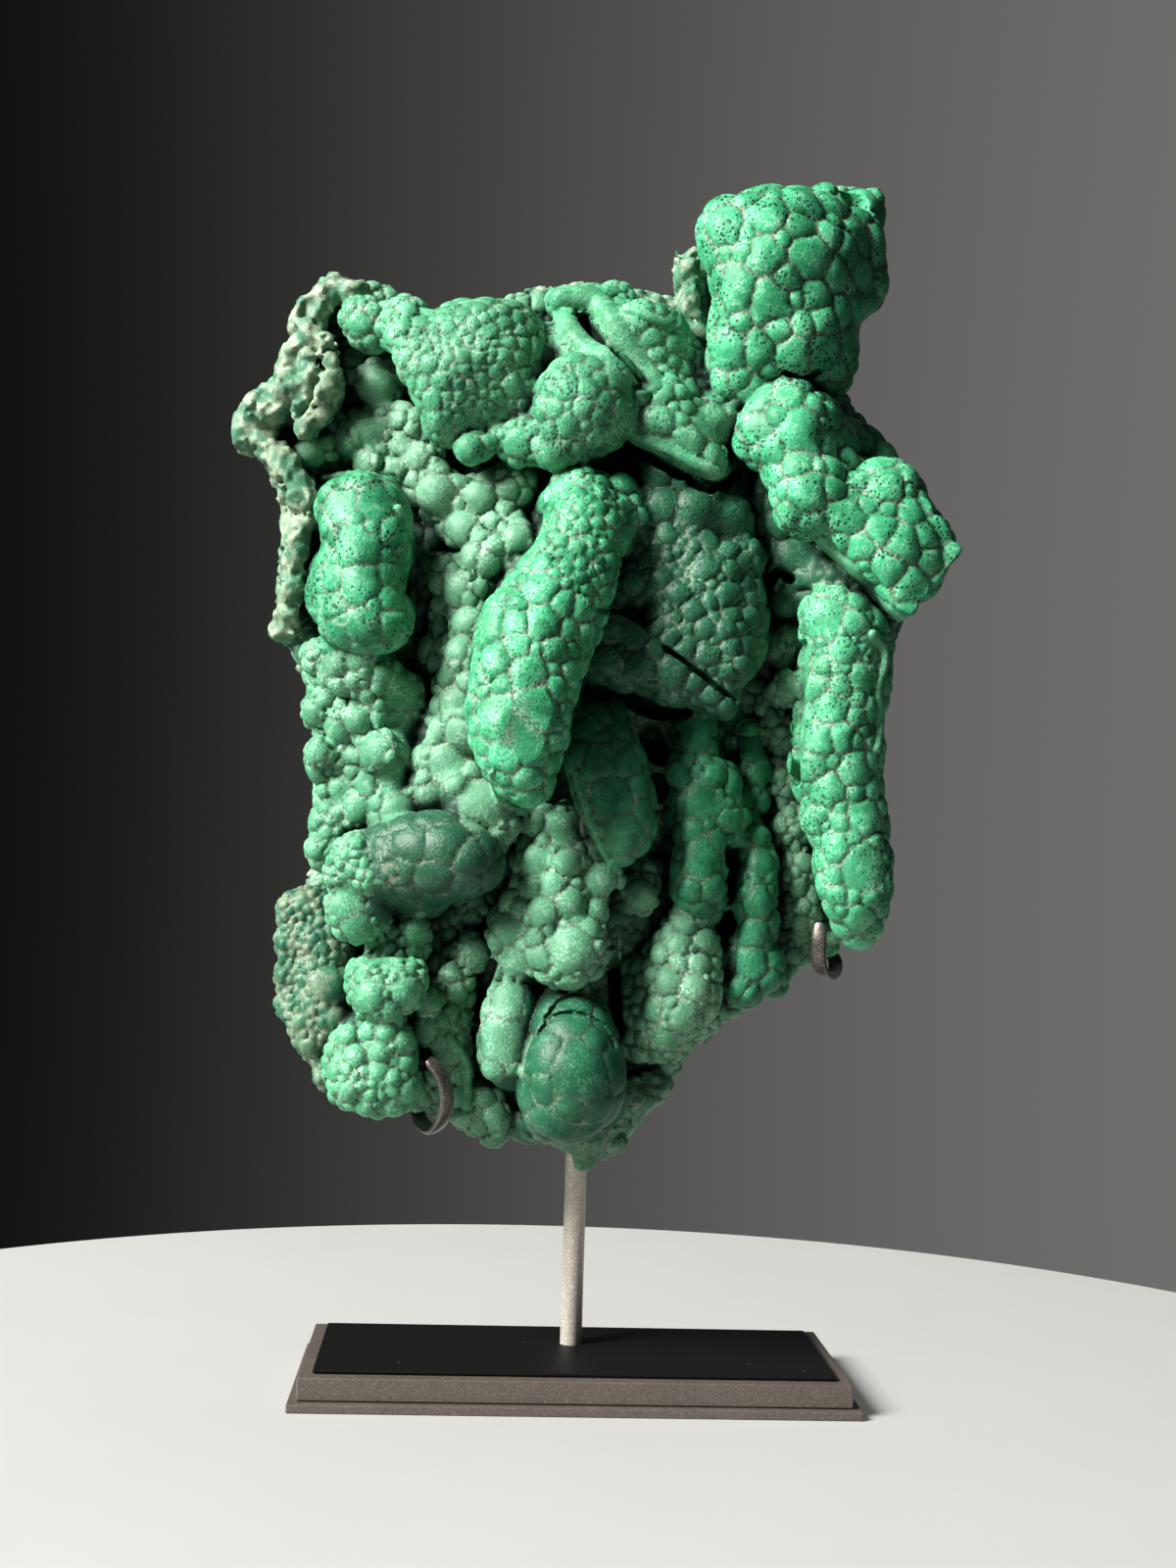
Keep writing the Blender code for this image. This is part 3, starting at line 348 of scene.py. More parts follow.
def side_distance(x, z, outline):
    """How far places are outside an outline; below zero inside it."""
    corners = np.array(outline, float)
    nearest = np.full(np.broadcast(x, z).shape, np.inf)
    inside = np.zeros(nearest.shape, bool)
    for (ax, az), (bx, bz) in zip(corners, np.roll(corners, -1, axis=0)):
        share = ((x - ax) * (bx - ax) + (z - az) * (bz - az)) / ((bx - ax) ** 2 + (bz - az) ** 2)
        share = np.clip(share, 0, 1)
        gap = np.hypot(ax + share * (bx - ax) - x, az + share * (bz - az) - z)
        nearest = np.minimum(nearest, gap)
        if az != bz:
            spans = (az > z) != (bz > z)
            inside ^= spans & (x < ax + (z - az) / (bz - az) * (bx - ax))
    return np.where(inside, -nearest, nearest)


class Lattice:
    """Smooth random values in space, the same each run."""

    SIZE = 48

    def __init__(self, scale, seed):
        self.scale = scale
        self.values = np.random.default_rng(seed).standard_normal((self.SIZE,) * 3).astype(np.float32)

    def at(self, points):
        places = points / self.scale
        whole = np.floor(places).astype(int)
        part = places - whole
        part = part * part * (3 - 2 * part)
        total = np.zeros(len(points), np.float32)
        for corner in range(8):
            steps = np.array([corner & 1, corner >> 1 & 1, corner >> 2 & 1])
            weight = np.prod(np.where(steps, part, 1 - part), axis=1)
            index = (whole + steps) % self.SIZE
            total += weight * self.values[index[:, 0], index[:, 1], index[:, 2]]
        return total


class Growth:
    """A solid kept as distances on a regular grid, below zero inside, with the kind of each place."""

    def __init__(self, low, high, step):
        self.low = np.array(low)
        self.step = step
        shape = np.ceil((np.array(high) - self.low) / step).astype(int) + 1
        self.field = np.full(shape, FAR, np.float32)
        self.kind = np.zeros(shape, np.uint8)
        self.first = np.full(shape, CELL_REACH, np.float32)
        self.second = np.full(shape, CELL_REACH, np.float32)
        self.rise = np.zeros(shape, np.float32)
        self.wide = np.ones(shape, np.float32)

    def window(self, low, high):
        """The part of the grid between two corners, and its x, y and z."""
        size = self.field.shape
        start = np.clip(np.floor((low - self.low) / self.step).astype(int), 0, size)
        stop = np.clip(np.ceil((high - self.low) / self.step).astype(int) + 1, 0, size)
        cut = tuple(slice(a, b) for a, b in zip(start, stop))
        x, y, z = (
            (self.low[i] + self.step * np.arange(start[i], stop[i])).astype(np.float32) for i in range(3)
        )
        return cut, x[:, None, None], y[None, :, None], z[None, None, :]

    def add(self, cut, distance, kind):
        part = self.field[cut]
        closer = distance < part
        part[closer] = distance[closer]
        self.kind[cut][closer] = kind

    def carve(self, cut, distance):
        part = self.field[cut]
        np.maximum(part, -distance, out=part)

    def ball_distance(self, centre, radius, squash=1.0):
        reach = radius + BAND
        cut, x, y, z = self.window(centre - reach, centre + reach)
        across = (x - centre[0]) ** 2 + (z - centre[2]) ** 2
        return cut, (np.sqrt(across + ((y - centre[1]) / squash) ** 2) - radius) * squash

    def ball(self, centre, radius, kind, squash=1.0):
        cut, distance = self.ball_distance(np.asarray(centre), radius, squash)
        self.add(cut, distance, kind)

    def boss(self, point, outward, radius, lift, kind):
        """A round cap of that radius and height, standing on the surface."""
        reach = BOSS_REACH * radius
        ball = (radius * radius + lift * lift) / (2 * lift)
        centre = point - outward * (ball - lift)
        cut, x, y, z = self.window(point - reach - BAND, point + reach + BAND)
        cap = np.sqrt((x - centre[0]) ** 2 + (y - centre[1]) ** 2 + (z - centre[2]) ** 2) - ball
        near = np.sqrt((x - point[0]) ** 2 + (y - point[1]) ** 2 + (z - point[2]) ** 2) - reach
        self.add(cut, np.maximum(cap, near), kind)

    def cell(self, point, radius, lift, kind):
        """A small lump's own part of the surface: nearer to it, for its size, than to the others."""
        reach = CELL_REACH * radius
        cut, x, y, z = self.window(point - reach, point + reach)
        apart = np.sqrt((x - point[0]) ** 2 + (y - point[1]) ** 2 + (z - point[2]) ** 2) / radius
        first, second = self.first[cut], self.second[cut]
        closer = apart < first
        second[:] = np.where(closer, first, np.minimum(second, apart))
        first[closer] = apart[closer]
        self.rise[cut][closer] = lift
        self.wide[cut][closer] = radius
        self.kind[cut][closer] = kind

    def crease_lines(self):
        """One where two small lumps meet, falling to zero beside the line."""
        return np.clip(1 - (self.second - self.first) * self.wide / CREASE_WIDTH, 0, 1)

    def raise_lumps(self):
        """Moves the surface out over each small lump, and in along the lines between them."""
        near = np.abs(self.field) < FAR
        share = self.first[near] / self.second[near]
        push = self.rise[near] * (1 - share ** ROUNDNESS)
        self.field[near] += CREASE_DEPTH * self.crease_lines()[near] - push

    def rod_distance(self, start, stop, radius, depth=0.0):
        """Distance to a rounded bar; with a depth it is a wall, drawn back that far from the front."""
        start, stop = np.asarray(start), np.asarray(stop)
        low = np.minimum(start, stop) - radius - BAND
        high = np.maximum(start, stop) + radius + BAND + (0, depth, 0)
        cut, x, y, z = self.window(low, high)
        along = stop - start
        flat = (1.0, 0.0 if depth else 1.0, 1.0)
        share = (
            (x - start[0]) * along[0] + (y - start[1]) * along[1] * flat[1] + (z - start[2]) * along[2]
        ) / max(TINY, float((along * along * flat).sum()))
        share = np.clip(share, 0, 1)
        back = y - start[1] - share * along[1]
        back = back - np.clip(back, 0, depth)
        across = (x - start[0] - share * along[0]) ** 2 + (z - start[2] - share * along[2]) ** 2
        return cut, np.sqrt(across + back ** 2) - radius

    def rods(self, spots, radius, depth=0.0):
        """The bars from each spot to the next."""
        for start, stop in zip(spots, spots[1:]):
            yield self.rod_distance(start, stop, radius, depth)

    def nearest(self, points):
        """The grid places closest to points, as three index arrays."""
        index = np.rint((points - self.low) / self.step).astype(int)
        index = np.clip(index, 0, np.array(self.field.shape) - 1)
        return index[:, 0], index[:, 1], index[:, 2]

    def first_hit(self, spots):
        """Where the rays from EYE through x, z on the upright plane first meet the solid."""
        on_plane = np.array([[x, 0.0, z] for x, z in spots])
        hits = np.full((len(spots), 3), np.nan)
        for y in np.arange(self.low[1], GRID_BEHIND, self.step * 0.5):
            points = on_plane + (EYE - on_plane) * (y / EYE[1])
            inside = self.field[self.nearest(points)] < 0
            new = inside & np.isnan(hits[:, 0])
            hits[new] = points[new]
        return hits

    def traced(self, points):
        """Places on the surface along a smooth line that is read from the front."""
        path = smooth_path([(x, z, 0) for x, z in points], 4)
        hits = self.first_hit([(point.x, point.y) for point in path])
        return hits[np.isfinite(hits[:, 0])]

    def sag(self, point, outward, radius):
        """How far the surface falls away, on average, at that distance around a point."""
        outward = np.asarray(outward, float)
        across = np.cross(outward, (0.3, 0.5, 0.81))
        across /= max(np.linalg.norm(across), TINY)
        other = np.cross(outward, across)
        around = np.array([across, -across, other, -other])
        return float(np.maximum(self.field[self.nearest(point + radius * around)], 0).mean())

    def skin(self):
        """Grid places on the surface, their outward directions and kinds."""
        index = np.argwhere(np.abs(self.field) < 0.5 * self.step)
        limit = np.array(self.field.shape) - 1
        slope = np.empty((len(index), 3), np.float32)
        for axis in range(3):
            ahead, behind = index.copy(), index.copy()
            ahead[:, axis] = np.minimum(ahead[:, axis] + 1, limit[axis])
            behind[:, axis] = np.maximum(behind[:, axis] - 1, 0)
            slope[:, axis] = self.field[tuple(ahead.T)] - self.field[tuple(behind.T)]
        slope /= np.maximum(np.linalg.norm(slope, axis=1, keepdims=True), TINY)
        return self.low + index * self.step, slope, self.kind[tuple(index.T)]

    def roughen(self, rough):
        """Moves the surface by noise. Rough gives, for each kind, the sizes and heights to use."""
        near = np.abs(self.field) < ROUGH_REACH
        for kind, layers in rough.items():
            index = np.argwhere(near & (self.kind == kind))
            if not len(index):
                continue
            points = self.low + index * self.step
            push = np.zeros(len(index), np.float32)
            for number, (size, height) in enumerate(layers):
                push += height * Lattice(size, ROUGH_SEED + number).at(points)
            self.field[tuple(index.T)] -= push

    def surface(self, low, high):
        """Corners and four-sided faces of the part in a box, one corner for each grid cell crossed."""
        margin = 2 * self.step
        cut, x, y, z = self.window(np.array(low) - margin, np.array(high) + margin)
        origin = self.low + self.step * np.array([part.start for part in cut])
        field = self.field[cut].copy()
        for place, least, most in zip((x, y, z), low, high):
            np.maximum(field, np.maximum(least - place, place - most), out=field)
        inside = field < 0
        crossed = np.zeros(tuple(n - 1 for n in field.shape), bool)
        first = inside[:-1, :-1, :-1]
        for dx in (0, 1):
            for dy in (0, 1):
                for dz in (0, 1):
                    corner = inside[dx:, dy:, dz:][tuple(slice(0, n) for n in crossed.shape)]
                    crossed |= corner != first
        cells = np.argwhere(crossed)
        number = np.full(crossed.shape, -1, np.int32)
        number[tuple(cells.T)] = np.arange(len(cells))
        total = np.zeros((len(cells), 3))
        count = np.zeros(len(cells))
        for axis in range(3):
            others = [i for i in range(3) if i != axis]
            for a in (0, 1):
                for b in (0, 1):
                    low = cells.copy()
                    low[:, others[0]] += a
                    low[:, others[1]] += b
                    high = low.copy()
                    high[:, axis] += 1
                    start = field[tuple(low.T)]
                    stop = field[tuple(high.T)]
                    cut = (start < 0) != (stop < 0)
                    share = start[cut] / (start[cut] - stop[cut])
                    place = low[cut].astype(float)
                    place[:, axis] += share
                    total[cut] += place
                    count[cut] += 1
        corners = origin + total / count[:, None] * self.step
        faces = []
        for axis in range(3):
            u, v = (axis + 1) % 3, (axis + 2) % 3
            ahead = [slice(None)] * 3
            behind = [slice(None)] * 3
            ahead[axis], behind[axis] = slice(1, None), slice(0, -1)
            changes = np.argwhere(inside[tuple(ahead)] != inside[tuple(behind)])
            leaves = inside[tuple(changes.T)]
            ring = []
            for du, dv in ((-1, -1), (0, -1), (0, 0), (-1, 0)):
                cell = changes.copy()
                cell[:, u] += du
                cell[:, v] += dv
                ring.append(number[tuple(cell.T)])
            quad = np.stack(ring, axis=1)
            quad[~leaves] = quad[~leaves][:, ::-1]
            faces.append(quad)
        return corners, np.concatenate(faces)


def without_crumbs(corners, faces):
    """Drops the small bodies that float free."""
    label = np.arange(len(corners))
    pairs = np.concatenate([faces[:, [0, 1]], faces[:, [1, 2]], faces[:, [2, 3]], faces[:, [3, 0]]])
    while True:
        lowest = np.minimum(label[pairs[:, 0]], label[pairs[:, 1]])
        fresh = label.copy()
        np.minimum.at(fresh, pairs[:, 0], lowest)
        np.minimum.at(fresh, pairs[:, 1], lowest)
        fresh = fresh[fresh]
        if np.array_equal(fresh, label):
            break
        label = fresh
    keep = np.bincount(label)[label] > CRUMB
    renumber = np.cumsum(keep) - 1
    return corners[keep], renumber[faces[keep[faces[:, 0]]]]


def box_mean(values, reach):
    """The mean over a cube that reaches so many steps each way."""
    out = values
    for axis in range(3):
        pad = [(0, 0)] * 3
        pad[axis] = (reach + 1, reach)
        total = np.cumsum(np.pad(out, pad, mode="edge"), axis=axis, dtype=np.float32)
        ahead = [slice(None)] * 3
        behind = [slice(None)] * 3
        ahead[axis] = slice(2 * reach + 1, None)
        behind[axis] = slice(0, -2 * reach - 1)
        out = (total[tuple(ahead)] - total[tuple(behind)]) / (2 * reach + 1)
    return out


def mesh_from(name, corners, faces):
    mesh = bpy.data.meshes.new(name)
    mesh.vertices.add(len(corners))
    mesh.vertices.foreach_set("co", np.asarray(corners, np.float32).ravel())
    sides = faces.shape[1]
    mesh.loops.add(faces.size)
    mesh.loops.foreach_set("vertex_index", faces.astype(np.int32).ravel())
    mesh.polygons.add(len(faces))
    mesh.polygons.foreach_set("loop_start", np.arange(0, faces.size, sides, dtype=np.int32))
    mesh.update(calc_edges=True)
    return mesh


def closed_mesh(name, shape, sharp=None):
    """Ends the editing of a shape. With an angle it is smooth but for edges sharper than that."""
    bmesh.ops.recalc_face_normals(shape, faces=shape.faces)
    mesh = bpy.data.meshes.new(name)
    shape.to_mesh(mesh)
    shape.free()
    if sharp:
        mesh.shade_smooth()
        mesh.set_sharp_from_angle(angle=math.radians(sharp))
    return mesh


def link(name, mesh):
    obj = bpy.data.objects.new(name, mesh)
    bpy.context.scene.collection.objects.link(obj)
    return obj


# The stone's detail

# What each group of lumps is like: the radii of the small lumps on it and how far they rise as a
# share of that, how far the big lumps flow together, then its colour traits from 0 to 1
# Dark is partly the stone's own dark green and partly painted shade where a group lies in shadow
TRAITS = ("vivid", "pale", "dark", "pitted", "earthy")
Group = namedtuple("Group", ("least", "most", "rise", "blend") + TRAITS)
GROUPS = {
    "crust": Group(2.2, 3.8, 0.50, 0.0, 0.10, 0.80, 0.0, 0.0, 0.00),
    "head": Group(4.8, 8.5, 0.25, 4.0, 0.90, 0.10, 0.2, 1.0, 0.00),
    "arm": Group(4.5, 7.0, 0.24, 3.5, 0.90, 0.10, 0.2, 1.0, 0.00),
    "right_column": Group(3.4, 6.0, 0.26, 3.0, 0.80, 0.20, 0.1, 0.7, 0.00),
    "main_finger": Group(3.6, 6.8, 0.24, 3.5, 0.85, 0.10, 0.2, 0.5, 0.00),
    "cut_finger": Group(4.6, 7.0, 0.20, 3.0, 0.35, 0.10, 0.9, 0.2, 0.00),
    "arch": Group(3.0, 5.2, 0.26, 2.5, 0.15, 0.05, 1.0, 0.6, 0.00),
    "beside_arch": Group(4.4, 7.5, 0.34, 3.0, 0.10, 0.10, 0.9, 0.0, 0.00),
    "ledge": Group(3.6, 6.0, 0.26, 2.5, 0.60, 0.35, 0.1, 0.6, 0.00),
    "top_middle": Group(2.8, 5.0, 0.19, 3.0, 0.60, 0.25, 0.1, 0.8, 0.00),
    "top_left": Group(2.6, 4.6, 0.21, 3.0, 0.60, 0.35, 0.0, 0.5, 0.00),
    "hollow": Group(3.4, 6.0, 0.42, 2.0, 0.10, 0.90, 0.0, 0.0, 0.00),
    "left_column": Group(4.4, 7.5, 0.20, 3.5, 0.60, 0.05, 0.5, 1.0, 0.00),
    "left_flank": Group(2.6, 4.8, 0.42, 2.0, 0.35, 0.50, 0.1, 0.2, 0.00),
    "pale_flow": Group(3.4, 5.6, 0.46, 2.0, 0.10, 0.85, 0.0, 0.0, 0.00),
    "snout": Group(7.5, 10.0, 0.18, 4.0, 0.05, 0.05, 0.95, 0.1, 0.00),
    "cauliflower": Group(2.0, 3.4, 0.48, 2.0, 0.60, 0.40, 0.0, 0.3, 0.00),
    "left_beads": Group(2.0, 3.4, 0.48, 2.0, 0.50, 0.40, 0.2, 0.3, 0.00),
    "left_strip": Group(1.6, 2.8, 0.46, 2.0, 0.20, 0.10, 0.8, 0.0, 0.35),
    "lower_recess": Group(3.0, 5.0, 0.46, 2.0, 0.20, 0.55, 0.3, 0.0, 0.00),
    "middle_column": Group(3.4, 5.6, 0.42, 2.0, 0.25, 0.60, 0.1, 0.0, 0.00),
    "left_bulb": Group(5.0, 8.0, 0.25, 2.5, 0.15, 0.55, 0.3, 0.0, 0.00),
    "big_bulb": Group(8.0, 11.0, 0.12, 4.0, 0.15, 0.00, 0.95, 0.0, 0.00),
    "bottom_rock": Group(2.0, 3.5, 0.22, 2.0, 0.15, 0.20, 0.5, 0.0, 0.20),
    "twin_columns": Group(4.0, 6.2, 0.28, 2.0, 0.40, 0.05, 0.95, 0.2, 0.00),
    "pale_cone": Group(2.8, 4.6, 0.42, 2.5, 0.15, 0.70, 0.1, 0.0, 0.00),
    "right_recess": Group(2.2, 4.0, 0.44, 2.0, 0.05, 0.70, 0.4, 0.0, 0.00),
    "back": Group(3.0, 6.0, 0.20, 0.0, 0.05, 0.20, 0.4, 0.0, 0.75),
    "rims": Group(1.4, 2.2, 0.00, 0.0, 0.70, 0.25, 0.1, 0.2, 0.10),
    "broken_edge": Group(1.6, 3.0, 0.15, 1.0, 0.15, 0.85, 0.0, 0.0, 0.60),
}
ALL_GROUPS = list(GROUPS.values())
KIND = {name: number for number, name in enumerate(GROUPS)}

# How high small lumps rise: their lift is a share of the radius, eased off above a radius, and
# never more than MOST_LIFT. Seen lumps of a group with a rise from BOSS_SHARE are round bosses
LIFT_EASED_FROM = 4.0
LIFT_EASE = 8.0
MOST_LIFT = 2.2
BOSS_SHARE = 0.35
BOSS_RISE = 0.10
BOSS_REACH = 1.15
BOSS_MARGIN = 0.12
BOSS_MOST = 0.9

# How the big lumps flow together, and how the small ones share out the surface: how far each
# reaches as a share of its radius, how domed it is, and the creases between them
BLEND_LOSS = 0.5
BLEND_REACH = 3.0
CELL_REACH = 1.7
ROUNDNESS = 1.6
CREASE_WIDTH = 0.8
CREASE_DEPTH = 0.35

# How the small lumps are packed: the part of the surface tried, how close two may come as a
# share of their radii, the rounds with ever smaller lumps, and the bins used to look them up
PACKING_SEED = 7
PACKING_TRIED = 0.35
CLOSENESS = 0.72
SEEN_ROOM = 1.05
SMALLEST = 1.6
ROUNDS = (1.0, 0.62)
BIN = 8.0
FACING = 0.2

# A seen lump is left smooth where a big lump of about its size stands already
SAME_PLACE = 0.5
SAME_SIZE = 1.3
BIG_FROM = 5.0

# Reach in millimetres of the means that the painted creases and the painted shade of hollows come from
CREASE_MEAN = 1.6
HOLLOW_MEAN = 9.0

# Kinds with a broken or weathered skin: size and height of each layer of roughness
ROUGH_SEED = 40
ROUGH_REACH = 1.6
ROUGH = {
    "back": [(7.0, 0.9), (2.6, 0.45)],
    "bottom_rock": [(5.0, 0.9), (2.0, 0.5)],
    "broken_edge": [(4.2, 1.2), (1.8, 0.7)],
}

# Single lumps seen in front: x, z and radius. Their depth is that of the surface behind them
SEEN_LUMPS = [
    # Hollow at the upper left
    (-81, 348, 5), (-76, 327, 9), (-78, 312, 7.5), (-97, 303, 7), (-84, 308, 5), (-78, 301, 6),
    (-60, 303, 5), (-55, 291, 8.5), (-53, 278, 5), (-45, 281, 6), (-42, 270, 5), (-36, 268, 5),
    (-47, 260, 6), (-42, 250, 5), (-45, 240, 5),
    # Top, left and middle
    (-43, 305, 6.8), (-27, 310, 5.5), (-15, 305, 6.5), (20, 304, 8), (3, 305, 4), (38, 320, 8),
    (22, 352, 4), (25, 346, 4), (45, 309, 3),
    # Head
    (40, 386, 7), (54, 391, 7), (54, 377, 7), (69, 378, 7), (66, 388, 5), (45, 365, 8), (56, 362, 8),
    (43, 345, 7), (53, 345, 6), (57, 338, 3.5), (40, 332, 6), (68, 354, 4.5), (65, 343, 7),
    (76, 345, 7), (75, 337, 3.5), (77, 386, 5), (79, 372, 5), (81, 360, 5), (47, 378, 4), (62, 370, 5),
    (72, 364, 5),
    # Arm
    (64, 330, 6), (68, 318, 8), (53, 318, 6), (58, 311, 5), (70, 297, 7), (78, 325, 5), (97, 301, 7),
    (84, 290, 6.5), (96, 285, 5), (104, 281, 6), (113, 276, 5), (98, 272, 6), (107, 267, 6),
    (89, 279, 5), (80, 306, 5), (68, 277, 8), (97, 258, 5),
    # Right column
    (76, 255, 8), (88, 254, 5), (72, 245, 4), (84, 244, 5), (75, 232, 5), (84, 232, 4), (80, 225, 6),
    (90, 228, 3), (77, 213, 6), (84, 215, 5), (89, 214, 3), (94, 214, 3), (75, 205, 6), (89, 204, 6),
    (80, 197, 6), (95, 198, 4), (75, 186, 5), (93, 188, 6.5), (83, 178, 6), (93, 172, 9), (84, 162, 4),
    (92, 155, 6), (66, 231, 5), (62, 207, 2.5),
    # Fingers
    (9, 298, 5), (12, 286, 3), (5, 285, 4), (-35, 248, 7), (-25, 249, 5), (-17, 250, 6), (-33, 236, 7),
    (-22, 233, 6), (-32, 219, 8), (-18, 221, 8), (-28, 205, 6), (-19, 207, 6), (3, 205, 7),
    (12, 204, 6), (8, 192, 8), (12, 180, 8),
    # Arch and what hangs under it
    (5, 248, 5), (13, 246, 5), (20, 242, 4), (5, 238, 6), (15, 236, 6), (28, 235, 6), (35, 232, 5),
    (40, 228, 5), (45, 224, 4), (12, 265, 4.5), (17, 272, 4), (22, 267, 4), (28, 261, 4.5),
    (33, 256, 4.5), (45, 262, 5), (36, 270, 5), (22, 292, 6), (33, 290, 7), (45, 288, 8), (35, 215, 7),
    (29, 201, 5), (42, 201, 5), (38, 192, 7), (48, 186, 5), (38, 173, 8), (53, 210, 5), (58, 173, 6),
    (58, 158, 6), (56, 149, 6), (55, 139, 6), (52, 130, 5),
    # Pale cone and middle column
    (33, 151, 4), (32, 144, 4), (38, 138, 4.5), (25, 141, 4), (41, 146, 5), (28, 132, 5), (37, 130, 5),
    (24, 123, 5), (34, 121, 6), (29, 112, 5.5), (42, 122, 5), (48, 140, 5), (55, 128, 5), (19, 160, 7),
    (20, 175, 5), (-18, 183, 4), (-8, 182, 7), (-17, 171, 6), (-7, 170, 5), (5, 165, 6.5),
    (-18, 162, 4), (-22, 155, 4), (-14, 154, 5), (-5, 156, 6), (4, 155, 5), (-4, 142, 9), (-25, 148, 6),
    (-23, 137, 6), (-24, 124, 8), (-26, 112, 9),
    # Snout and big bulb
    (-58, 175, 8), (-47, 175, 9), (-39, 171, 7), (-51, 164, 8), (-61, 166, 6), (0, 100, 12),
    (-13, 107, 8), (-3, 120, 8), (8, 117, 6), (-12, 96, 6), (7, 89, 6),
    # Left side
    (-62, 166, 4.5), (-78, 155, 7), (-75, 147, 6), (-55, 146, 5.5), (-57, 139, 3), (-65, 140, 3),
    (-70, 125, 5.5), (-63, 121, 4), (-58, 126, 6), (-77, 112, 4), (-70, 113, 4), (-64, 113, 4),
    (-58, 110, 4.5), (-74, 105, 4), (-66, 106, 4), (-57, 103, 4), (-66, 100, 3.5), (-61, 98, 3),
    (-56, 95, 5), (-60, 88, 4.5), (-70, 88, 4), (-66, 86, 3), (-76, 93, 3.5), (-51, 123, 4),
    (-52, 115, 5), (-47, 117, 3), (-45, 108, 6), (-34, 140, 6.5), (-84, 128, 6), (-80, 117, 5),
    (-89, 108, 3.5), (-92, 116, 3), (-85, 287, 7), (-74, 288, 7), (-80, 273, 8), (-78, 261, 7),
    (-76, 246, 6), (-66, 246, 6), (-93, 272, 6), (-87, 262, 5), (-87, 253, 5), (-85, 244, 5),
    (-85, 233, 4), (-89, 228, 3), (-77, 236, 4.5), (-70, 231, 4), (-79, 228, 3), (-74, 224, 3),
    (-63, 225, 7), (-63, 214, 6), (-92, 217, 4.5), (-84, 211, 5), (-77, 215, 5), (-90, 204, 4),
    (-71, 206, 6), (-65, 197, 6), (-82, 193, 4), (-76, 186, 5), (-70, 182, 4), (-62, 185, 6),
    (-87, 186, 3), (-86, 178, 3), (-90, 172, 3),
    # Pale flow between the fingers
    (-38, 231, 6), (-45, 223, 6), (-43, 212, 6), (-51, 221, 4), (-48, 202, 7), (-55, 211, 4),
    (-57, 203, 5), (-52, 190, 6), (-44, 195, 4), (-36, 188, 10),
]

# Areas where the small lumps have a size of their own: x, z, half width, half height and radii
FINE_AREAS = [
    (-5, 281, 14, 20, 1.8, 3.2), (-44, 343, 14, 13, 1.9, 3.4), (-91, 135, 7, 28, 1.2, 2.1),
    (-74, 171, 11, 11, 1.8, 2.9), (-38, 322, 14, 7, 1.8, 3.0), (-88, 203, 8, 6, 1.6, 2.4),
    (86, 245, 11, 8, 1.6, 2.6), (24, 268, 16, 12, 1.8, 3.0), (-92, 250, 9, 16, 1.5, 2.6),
    (34, 350, 8, 12, 1.8, 3.0), (-66, 110, 16, 20, 1.8, 3.0),
]

# Cracks and gaps: x and z along them, their half width, and how deep they go
GROOVES = [
    ([(-8, 353), (-4, 350), (-1, 346)], 2.4, 9),
    ([(3, 343), (8, 339), (13, 333)], 0.7, 4),
    ([(2, 255), (10, 254), (17, 250)], 0.9, 5),
    ([(24, 243), (36, 235), (48, 226)], 1.0, 5),
    ([(10, 160), (9, 145), (11, 130), (13, 112)], 2.2, 9),
    ([(-92, 338), (-93, 332), (-94, 326)], 1.1, 6),
    ([(15, 308), (23, 304), (32, 299), (40, 297), (47, 303)], 1.8, 7),
    ([(-1, 227), (10, 226), (21, 222), (31, 222)], 3.0, 6),
    ([(20, 214), (24, 205), (23, 195)], 4.0, 4),
    ([(62, 338), (68, 336), (74, 339)], 0.9, 3),
    ([(-15, 112), (-10, 119), (-2, 121), (7, 117), (11, 110)], 0.6, 1.5),
    ([(-12, 119), (-7, 125), (1, 127), (8, 122)], 0.6, 1.5),
    ([(71, 246), (71, 232), (70, 215), (70, 200)], 1.6, 8),
    ([(47, 176), (48, 162), (49, 150)], 1.8, 7),
    ([(-30, 136), (-33, 126), (-35, 112)], 1.8, 8),
    ([(58, 262), (61, 270), (66, 268)], 1.6, 8),
]

# Openings sunk into the front: x, z and radius
POCKETS = [(84, 397, 6.0), (-73, 140, 4.0)]


def grow_stone():
    stone = Growth(GRID_LOW, GRID_HIGH, STEP)
    add_crust(stone)
    for group, lumps in LUMPS.items():
        add_group(stone, lumps, KIND[group], GROUPS[group].blend)
    for points, radius, depth in EDGES:
        spots = [seen_at(*point)[0] for point in smooth_path(points, 3)]
        for cut, distance in stone.rods(spots, radius, depth):
            stone.add(cut, distance, KIND["broken_edge"])
    for x, z, radius in BACK_SWELLINGS:
        room = -float(side_distance(np.array(x), np.array(z), CRUST_OUTLINE))
        radius = min(radius, room + BACK_OVERHANG)
        stone.ball((x, 0.0, z), radius, KIND["back"], BACK_SWELL)
    add_shells(stone)
    add_small_lumps(stone)
    carve_grooves(stone)
    for x, z, radius in POCKETS:
        cut, distance = stone.ball_distance(stone.first_hit([(x, z)])[0], radius)
        stone.carve(cut, distance)
    stone.roughen({KIND[name]: layers for name, layers in ROUGH.items()})
    clear_the_stand(stone)
    return stone


